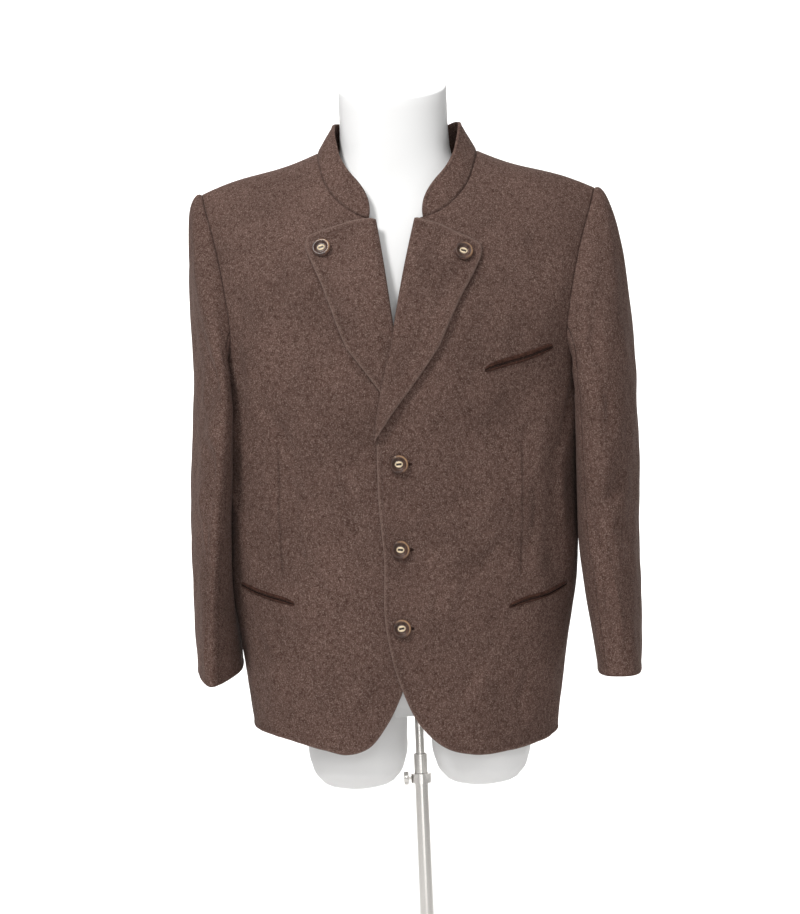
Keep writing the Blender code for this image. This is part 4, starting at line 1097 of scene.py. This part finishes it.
def sleeve_grid(side, turns, cap_levels, arm_levels):
    """Places of a sleeve's inner face from the armhole to the cuff, and the level of every row."""
    top_z = SLEEVES[side][0][0]
    cuff_z = SLEEVES[side][-1][0]
    start = armhole_ring(turns)
    end = arm_ring(side, turns, top_z)
    way, keep = cap_start(turns)
    reach = np.linalg.norm(end - start, axis=1, keepdims=True)
    first = start + way * reach * keep
    upward = unit(end - arm_ring(side, turns, top_z - 0.03))
    second = end + upward * reach * CAP_KEEP_END
    rows = []
    levels = []
    for t in cap_levels:
        back = 1 - t
        rows.append(start * back ** 3 + first * 3 * t * back ** 2 + second * 3 * t * t * back + end * t ** 3)
        levels.append(CAP_SHARE * t)
    for share in arm_levels:
        rows.append(arm_ring(side, turns, top_z + (cuff_z - top_z) * share))
        levels.append(CAP_SHARE + (1 - CAP_SHARE) * share)
    return np.array(rows), np.array(levels)


def grid_normals(grid):
    """Unit normals of a grid of places."""
    down = np.gradient(grid, axis=0)
    along = np.gradient(grid, axis=1)
    normal = np.cross(along, down)
    return normal / np.maximum(np.linalg.norm(normal, axis=-1, keepdims=True), 1e-12)


def add_sleeve(side, part):
    """The upper or the under part of a sleeve as a fine shell."""
    sign = FRONTS[side]["sign"]
    fore, hind = SLEEVE_SEAMS
    low, high = (hind - 1, fore) if part == "upper" else (fore, hind)
    gap = SLEEVE_SEAM_GAP
    count = 84 if part == "upper" else 74
    beside = np.array([0, 0.0022, 0.0050, 0.0085])
    middle = np.linspace(low + 0.015, high - 0.015, count)
    turns = np.concatenate([low + gap + beside, middle, high - gap - beside[::-1]])
    cap = np.concatenate([[0, 0.006, 0.014, 0.026], np.linspace(0.045, 1, 52, endpoint=False)])
    arm = np.concatenate([np.linspace(0, 0.955, 76), [0.966, 0.976, 0.984, 0.991, 0.9965, 1.0]])
    grid, levels = sleeve_grid(side, turns, cap, arm)
    normal = grid_normals(grid)
    t = np.broadcast_to(turns[None], grid.shape[:2])
    s = np.broadcast_to(levels[:, None], grid.shape[:2])
    height = fold_height(t, s, SLEEVE_FOLDS[side], SLEEVE_STRETCH, 1.0, SLEEVE_FOLD_SPREAD)
    seed = 11 if side == "left" else 17
    height = height + 0.0005 * unevenness(np.sin(2 * math.pi * t) * 0.16, s * 0.6, 0.17, seed)
    under = np.clip(-np.cos(2 * math.pi * t), 0, 1)
    quiet = ease(0.0, 0.12, s) * (1 - 0.75 * under ** 2)
    ends = 1 - 0.5 * ease(0.93, 1.0, s)
    over = np.clip(np.cos(2 * math.pi * t), 0, 1) ** 0.5
    head = SLEEVE_HEAD * ease(0, 0.02, s) * (1 - ease(0.03, 0.14, s)) * over
    height = SLEEVE_FOLD_SCALE * height * quiet * ends + head
    from_seam = np.minimum(t - low, high - t) * SLEEVE_GIRTH
    from_arm = s * SLEEVE_LENGTH
    from_cuff = (1 - s) * SLEEVE_LENGTH
    off, roll = edge_profile(from_cuff, CLOTH)
    sink = SEAM_DEPTH * (1 - ease(0, SEAM_HALF, from_seam)) + 0.0008 * (1 - ease(0, 0.004, from_arm))
    outer = grid + normal * (height + CLOTH + roll - off - sink)[..., None]
    inner = grid + normal * (height + off)[..., None]
    # line is painted shade along the sleeve seams and the armhole seam
    line = np.clip(0.35 * bump(from_seam, 0.0016) + 0.6 * bump(from_arm, 0.0020), 0, 1)
    node = f"sleeve_{side}_{part}"
    mesh = grid_shell(node, outer, inner, sign, {"line": line})
    return show("cloth_" + node, mesh, LODEN, [node])


# ================= pockets, buttons, buttonholes =================

def strip_on(side, name, u, v, sink, thick, marks=None):
    """Shell of a raised strip that is let into a front's face by sink."""
    floor = (hang(side, u.ravel(), v.ravel()) + CLOTH - sink).reshape(u.shape)
    under, top = (raised(u.ravel(), v.ravel(), height.ravel()).reshape(*u.shape, 3)
                  for height in (floor, floor + thick))
    return grid_shell(name, top, under, FRONTS[side]["sign"], marks)


PIPING_EDGE = 0.0006       # thickness at a piping's edges, and what its crown adds
PIPING_CROWN = 0.0017
PIPING_END = 0.22          # its width at the ends, as a share


def add_piping(pocket, part):
    """One piping of a pocket: a rounded braid along the slit, pointed at its ends."""
    sign, inner, outer, upper, lower = POCKETS[pocket]
    side = "left" if sign > 0 else "right"
    ends = charted((inner, outer))
    share = np.linspace(0, 1, 61)
    middle = ends[0] + (ends[1] - ends[0]) * share[:, None]
    middle[:, 1] += 0.0006 * np.sin(2.5 * math.pi * share)
    full = upper if part == "upper" else lower
    width = full * (PIPING_END + (1 - PIPING_END) * np.sqrt(1 - np.abs(2 * share - 1) ** 5))
    way = 1 if part == "upper" else -1
    across = np.linspace(0, 1, 11)
    u = np.repeat(middle[None, :, 0], len(across), axis=0)
    v = middle[None, :, 1] + way * (0.0003 + across[:, None] * width[None])
    crown = np.sqrt(np.clip(1 - (2 * across - 1) ** 2, 0, 1))[:, None]
    twist = 0.00012 * np.sin(share * 210)[None]
    thick = PIPING_EDGE + PIPING_CROWN * crown * np.clip(width / 0.004, 0.4, 1)[None] + twist * crown
    # painted shade in the pocket's slit: the braid is darkest right beside it
    slit = np.repeat(1 - ease(0.06, 0.30, across)[:, None], len(share), axis=1)
    node = f"{pocket}_{part}"
    mesh = strip_on(side, node, u, v, 0.0003, thick, {"line": slit})
    return show("cloth_" + node, mesh, BRAID, [node])


BOSS_HALF = (0.0050, 0.0040)
SLOT_HALF = (0.0036, 0.0014)


def button_mesh(name):
    """A horn button: thick rim, dished ring, raised oval middle with a slot across it."""
    radii = BUTTON_RADIUS * np.sin(np.linspace(0, math.pi / 2, 34)) ** 0.9
    steps = 72
    angle = np.linspace(0, 2 * math.pi, steps, endpoint=False)
    r = radii[1:, None] * np.ones(steps)[None]
    x = r * np.cos(angle)
    y = r * np.sin(angle)
    share = r / BUTTON_RADIUS
    t = BUTTON_THICKNESS
    rim = ease(0.50, 0.76, share) * (1 - 0.75 * ease(0.84, 1.0, share) ** 1.6)
    boss = 1 - ease(0.84, 1.08, np.hypot(x / BOSS_HALF[0], y / BOSS_HALF[1]))
    slot = 1 - ease(0.80, 1.05, np.abs(x) / SLOT_HALF[0])
    slot *= 1 - ease(0.70, 1.15, np.abs(y) / SLOT_HALF[1])
    z = t * (0.42 + 0.58 * rim) + 0.0011 * boss - 0.0013 * slot
    top = np.stack([x, y, z], axis=-1)
    back = np.stack([x[::-1] * 0.985, y[::-1] * 0.985, np.full_like(x, 0.0)], axis=-1)
    back[0, :, 2] = 0.30 * t
    grid = np.concatenate([top, back]).reshape(-1, 3)
    rows = 2 * len(radii) - 2
    points = np.concatenate([grid, [(0, 0, t * 0.42 - 0.0002), (0, 0, 0)]])
    faces = [tuple(reversed(f)) for f in grid_faces(rows, steps, closed=True)]
    centre, below = len(grid), len(grid) + 1
    faces += [(centre, j, (j + 1) % steps) for j in range(steps)]
    last = (rows - 1) * steps
    faces += [(below, last + (j + 1) % steps, last + j) for j in range(steps)]
    faces = [tuple(int(i) for i in f) for f in faces]
    mesh = make_mesh(name, points, faces)
    fix = bmesh.new()
    fix.from_mesh(mesh)
    bmesh.ops.recalc_face_normals(fix, faces=fix.faces)
    fix.to_mesh(mesh)
    fix.free()
    zero = np.zeros(back.shape[0] * steps)
    # rim tint: faint all round, with a painted highlight making it brightest on one side as a crescent
    edge = ease(0.74, 0.86, share) * (1 - ease(0.92, 0.98, share)) * (0.12 + 0.50 * np.cos(angle - 0.5))
    give(mesh, "rim", np.concatenate([np.clip(edge, 0, 1).ravel(), zero, [0, 0]]))
    give(mesh, "boss", np.concatenate([boss.ravel(), zero, [1, 0]]))
    give(mesh, "slot", np.concatenate([slot.ravel(), zero, [1, 0]]))
    return mesh


def add_button(node, sign, u, v, height, turn):
    """A button on a charted point, turned by some degrees on its shank."""
    place = raised(np.array([u]), np.array([v]), np.array([height]))[0] * (sign, 1, 1)
    normal = outward(np.array([u]), np.array([v]))[0] * (sign, 1, 1)
    away = Vector(normal)
    right = Vector((1, 0, 0))
    right = (right - away * right.dot(away)).normalized()
    up = away.cross(right)
    basis = Matrix((right, up, away)).transposed().to_4x4()
    spin = Matrix.Rotation(math.radians(turn), 4, "Z")
    there = JACKET @ Matrix.Translation(place) @ basis @ spin
    return show("horn_" + node, button_mesh(node), HORN, [node], there)


HOLE_HALF_LONG = 0.0125
HOLE_HALF_WIDE = 0.0019
HOLE_U = 0.0040            # its middle lies this far past the button's


def add_buttonhole(number, v):
    """The end of a worked buttonhole, seen past its button."""
    share = np.linspace(-1, 1, 41)
    across = np.linspace(-1, 1, 9)
    wide = HOLE_HALF_WIDE * np.sqrt(np.clip(1 - share ** 8, 0, 1)) + 0.0001
    u = HOLE_U + np.repeat(share[None] * HOLE_HALF_LONG, len(across), axis=0)
    w = v + across[:, None] * wide[None]
    crown = np.sqrt(np.clip(1 - across ** 2, 0, 1))[:, None] - 0.75 * np.exp(-(across[:, None] / 0.28) ** 2)
    thick = 0.0006 + 0.0006 * crown * np.ones_like(u) + 0.00012 * np.sin(share * 60)[None]
    mesh = strip_on("left", f"buttonhole_{number}", u, w, 0.0004, thick)
    return show(f"thread_buttonhole_{number}", mesh, THREAD)


# ================= dress form and stand =================

def lean(mesh):
    """Tilt a mesh drawn upright about the pole."""
    mesh.transform(Matrix.Rotation(POLE_LEAN, 4, "Y"))
    return mesh


def ring_of(half, front, rear, z, power, steps, x=0.0, y=0.0, slope=0.0):
    """A level ring, deeper in front or behind as stated, tipped by slope."""
    angle = np.linspace(0, 2 * math.pi, steps, endpoint=False)
    cos = np.cos(angle)
    sin = np.sin(angle)
    px = half * np.sign(cos) * np.abs(cos) ** (2 / power)
    deep = np.where(sin < 0, front, rear)
    py = deep * np.sign(sin) * np.abs(sin) ** (2 / power)
    return np.column_stack([px + x, py + y, z + py * slope])


def loft_mesh(name, rings):
    """Closed loft through rings, lowest first."""
    steps = len(rings[0])
    faces = grid_faces(len(rings), steps, closed=True)
    last = (len(rings) - 1) * steps
    low_centre = len(rings) * steps
    points = np.concatenate(rings + [ring.mean(axis=0, keepdims=True) for ring in (rings[0], rings[-1])])
    faces += [(low_centre, (j + 1) % steps, j) for j in range(steps)]
    faces += [(low_centre + 1, last + j, last + (j + 1) % steps) for j in range(steps)]
    return make_mesh(name, points, faces)


def add_form():
    """The white torso form: one smooth skin over trunk and lower ends."""
    rings = [ring_of(*through(FORM_ROWS, z), z, FORM_ROUNDNESS, FORM_STEPS, 0, FORM_CENTRE_Y)
             for z in np.concatenate([[0.541], np.linspace(0.5465, 1.28, 74)])]
    low, half, front, rear = FORM_ROWS[-1]
    for share, narrow in NECK_TOP_ROWS:
        z = low + (NECK_TOP_Z - low) * share
        rings.append(ring_of(half * narrow, front * narrow, rear * narrow, z, FORM_ROUNDNESS, FORM_STEPS, 0,
                             FORM_CENTRE_Y, NECK_TOP_SLOPE * share))
    made = bmesh.new()
    made.from_mesh(loft_mesh("form", rings))
    for sign in (-1, 1):
        levels = np.concatenate([[0.448, 0.4485, 0.4495, 0.451], np.linspace(0.453, 0.60, 46)])
        lobe = [ring_of(*through(LOBE_ROWS, z)[[0, 1, 1]], z, LOBE_ROUNDNESS, FORM_STEPS, sign * LOBE_X,
                        FORM_CENTRE_Y) for z in levels]
        made.from_mesh(loft_mesh("lobe", lobe))
    mesh = bpy.data.meshes.new("dress_form")
    made.to_mesh(mesh)
    made.free()
    mesh.shade_smooth()
    mesh.set_sharp_from_angle(angle=math.radians(50))
    return show("white_form", lean(mesh), FORM_WHITE, ["dress_form"], Matrix())


def dress_stand():
    """Give the metal parts their finish."""
    for node, finish in (("pole_inner", STEEL), ("pole_outer", STEEL), ("clamp_ring", STEEL),
                         ("clamp_screw", STEEL), ("base", PLATE)):
        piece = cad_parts[node]
        piece.data.materials.clear()
        piece.data.materials.append(finish)
        piece.data.shade_smooth()
        piece.data.set_sharp_from_angle(angle=math.radians(38))


# ================= studio =================

STUDIO_FRONT = 8.0
STUDIO_HALF = 9.0
STUDIO_BEND_Y = 5.4
STUDIO_BEND = 1.2
STUDIO_HEIGHT = 7.0


def add_stage():
    """Pale seamless floor that curves up behind."""
    run = [(-STUDIO_FRONT, 0.0), (STUDIO_BEND_Y, 0.0)]
    for angle in np.linspace(0, math.pi / 2, 25)[1:]:
        run.append((STUDIO_BEND_Y + STUDIO_BEND * math.sin(angle), STUDIO_BEND * (1 - math.cos(angle))))
    run.append((STUDIO_BEND_Y + STUDIO_BEND, STUDIO_HEIGHT))
    points = [(x, y, z - 0.0005) for y, z in run for x in (-STUDIO_HALF, STUDIO_HALF)]
    faces = [(2 * i, 2 * i + 1, 2 * i + 3, 2 * i + 2) for i in range(len(run) - 1)]
    mesh = make_mesh("studio", points, faces)
    mesh.materials.append(plain("paper", (0.90, 0.89, 0.885), 0.9))
    put("studio", mesh)


def add_light(name, place, target, size, power):
    """A soft square light."""
    lamp = bpy.data.lights.new(name, "AREA")
    lamp.shape = "SQUARE"
    lamp.size = size
    lamp.energy = power
    piece = put(name, lamp, place)
    piece.rotation_euler = (Vector(target) - Vector(place)).to_track_quat("-Z", "Y").to_euler()


# Each light: its place, what it is turned to, its size and its power in watts.
LIGHTS = {
    "key": ((-1.6, -2.1, 3.3), (JACKET_X, 0, 1.10), 0.8, 84),
    "front": ((0.5, -3.3, 2.9), (JACKET_X, 0, 1.05), 1.5, 27),
    "fill_right": ((2.6, -2.0, 1.4), (JACKET_X, 0, 0.92), 1.6, 6),
    "top": ((0.0, -0.3, 3.4), (JACKET_X, 0, 0.92), 1.6, 12),
    "low": ((0.0, -2.4, 0.20), (JACKET_X, 0, 0.47), 0.9, 5),
    "floor_back": ((0.0, 3.4, 3.8), (0.0, 3.6, 0.0), 2.4, 110),
    "back_left": ((-3.2, 4.2, 2.4), (-0.4, 6.6, 1.2), 2.0, 110),
    "back_right": ((3.2, 4.2, 2.4), (0.4, 6.6, 1.2), 2.0, 110),
}


def light_studio():
    """Broad light from the front and above, weak fill, and a lit backdrop."""
    bpy.context.scene.view_settings.view_transform = "Standard"
    world = bpy.data.worlds.new("studio")
    bpy.context.scene.world = world
    world.use_nodes = True
    fill_in(world.node_tree.nodes["Background"], Color=(1, 0.995, 0.99, 1), Strength=0.22)
    for name, row in LIGHTS.items():
        add_light(name, *row)


CAMERA_AZIMUTH = 1.6
CAMERA_ROLL = -0.925
CAMERA_DISTANCE = 3.13
CAMERA_Z = 0.8713
CAMERA_LENS = 96.47
CAMERA_AIM_X = -0.030
CAMERA_SHIFT_X = -0.0021
CAMERA_SHIFT_Y = -0.0055


def add_camera():
    """Camera before the jacket, turned a little to its left side."""
    lens = bpy.data.cameras.new("camera")
    lens.lens = CAMERA_LENS
    lens.sensor_width = 36
    lens.sensor_fit = "AUTO"
    lens.clip_start = 0.05
    lens.clip_end = 60
    turn = math.radians(CAMERA_AZIMUTH)
    aside = CAMERA_AIM_X + CAMERA_DISTANCE * math.sin(turn)
    piece = put("camera", lens, (aside, -CAMERA_DISTANCE * math.cos(turn), CAMERA_Z))
    roll = Matrix.Rotation(math.radians(CAMERA_ROLL), 3, "Z")
    facing = Matrix.Rotation(turn, 3, "Z") @ Matrix.Rotation(math.radians(90), 3, "X") @ roll
    piece.rotation_euler = facing.to_euler()
    lens.shift_x = CAMERA_SHIFT_X
    lens.shift_y = CAMERA_SHIFT_Y
    bpy.context.scene.camera = piece


# ================= the cut =================

AREAS = {
    "left": {"front": 0.198, "back": 0.199, "lapel": 0.0164, "upper": 0.108, "under": 0.071},
    "right": {"front": 0.195, "back": 0.199, "lapel": 0.0157, "upper": 0.102, "under": 0.069},
}


def declare_sheets():
    """Gather each side's pipings, and on the left side the buttonholes and buttons too; the lists are not
    kept.
    """
    for side, area in AREAS.items():
        sign = FRONTS[side]["sign"]
        trim = [piece for (pocket, part), piece in pipings.items() if POCKETS[pocket][0] == sign]
        if side == "left":
            trim += holes + buttons


# ================= build =================

fronts = {side: add_front(side) for side in FRONTS}
backs = {side: add_back(side) for side in FRONTS}
lapels = {side: add_lapel(side) for side in FRONTS}
collar = add_collar()
sleeves = {(side, part): add_sleeve(side, part) for side in FRONTS for part in ("upper", "under")}
pipings = {(pocket, part): add_piping(pocket, part) for pocket in POCKETS for part in ("upper", "lower")}
holes = [add_buttonhole(number, z) for number, z in enumerate(FRONT_BUTTONS_Z, start=1)]
buttons = []
for number, (level, spin) in enumerate(zip(FRONT_BUTTONS_Z, (4, -6, 9)), start=1):
    under = float(hang("left", np.array([0.0]), np.array([level]))[0])
    buttons.append(add_button(f"front_button_{number}", 1, 0.0, level, under + CLOTH + 0.0010, spin))
for side, spec in FRONTS.items():
    spot = chart(*spec["button"])
    away = (np.array([0.05]), np.array([0.05]))
    under = float(lapel_base(side, spot[:1], spot[1:], *away)[0])
    add_button("lapel_button_" + side, spec["sign"], spot[0], spot[1],
                                     under + LAPEL_CLOTH + 0.0008, -14 if side == "left" else 12)
form = add_form()
dress_stand()
declare_sheets()
add_stage()
light_studio()
add_camera()
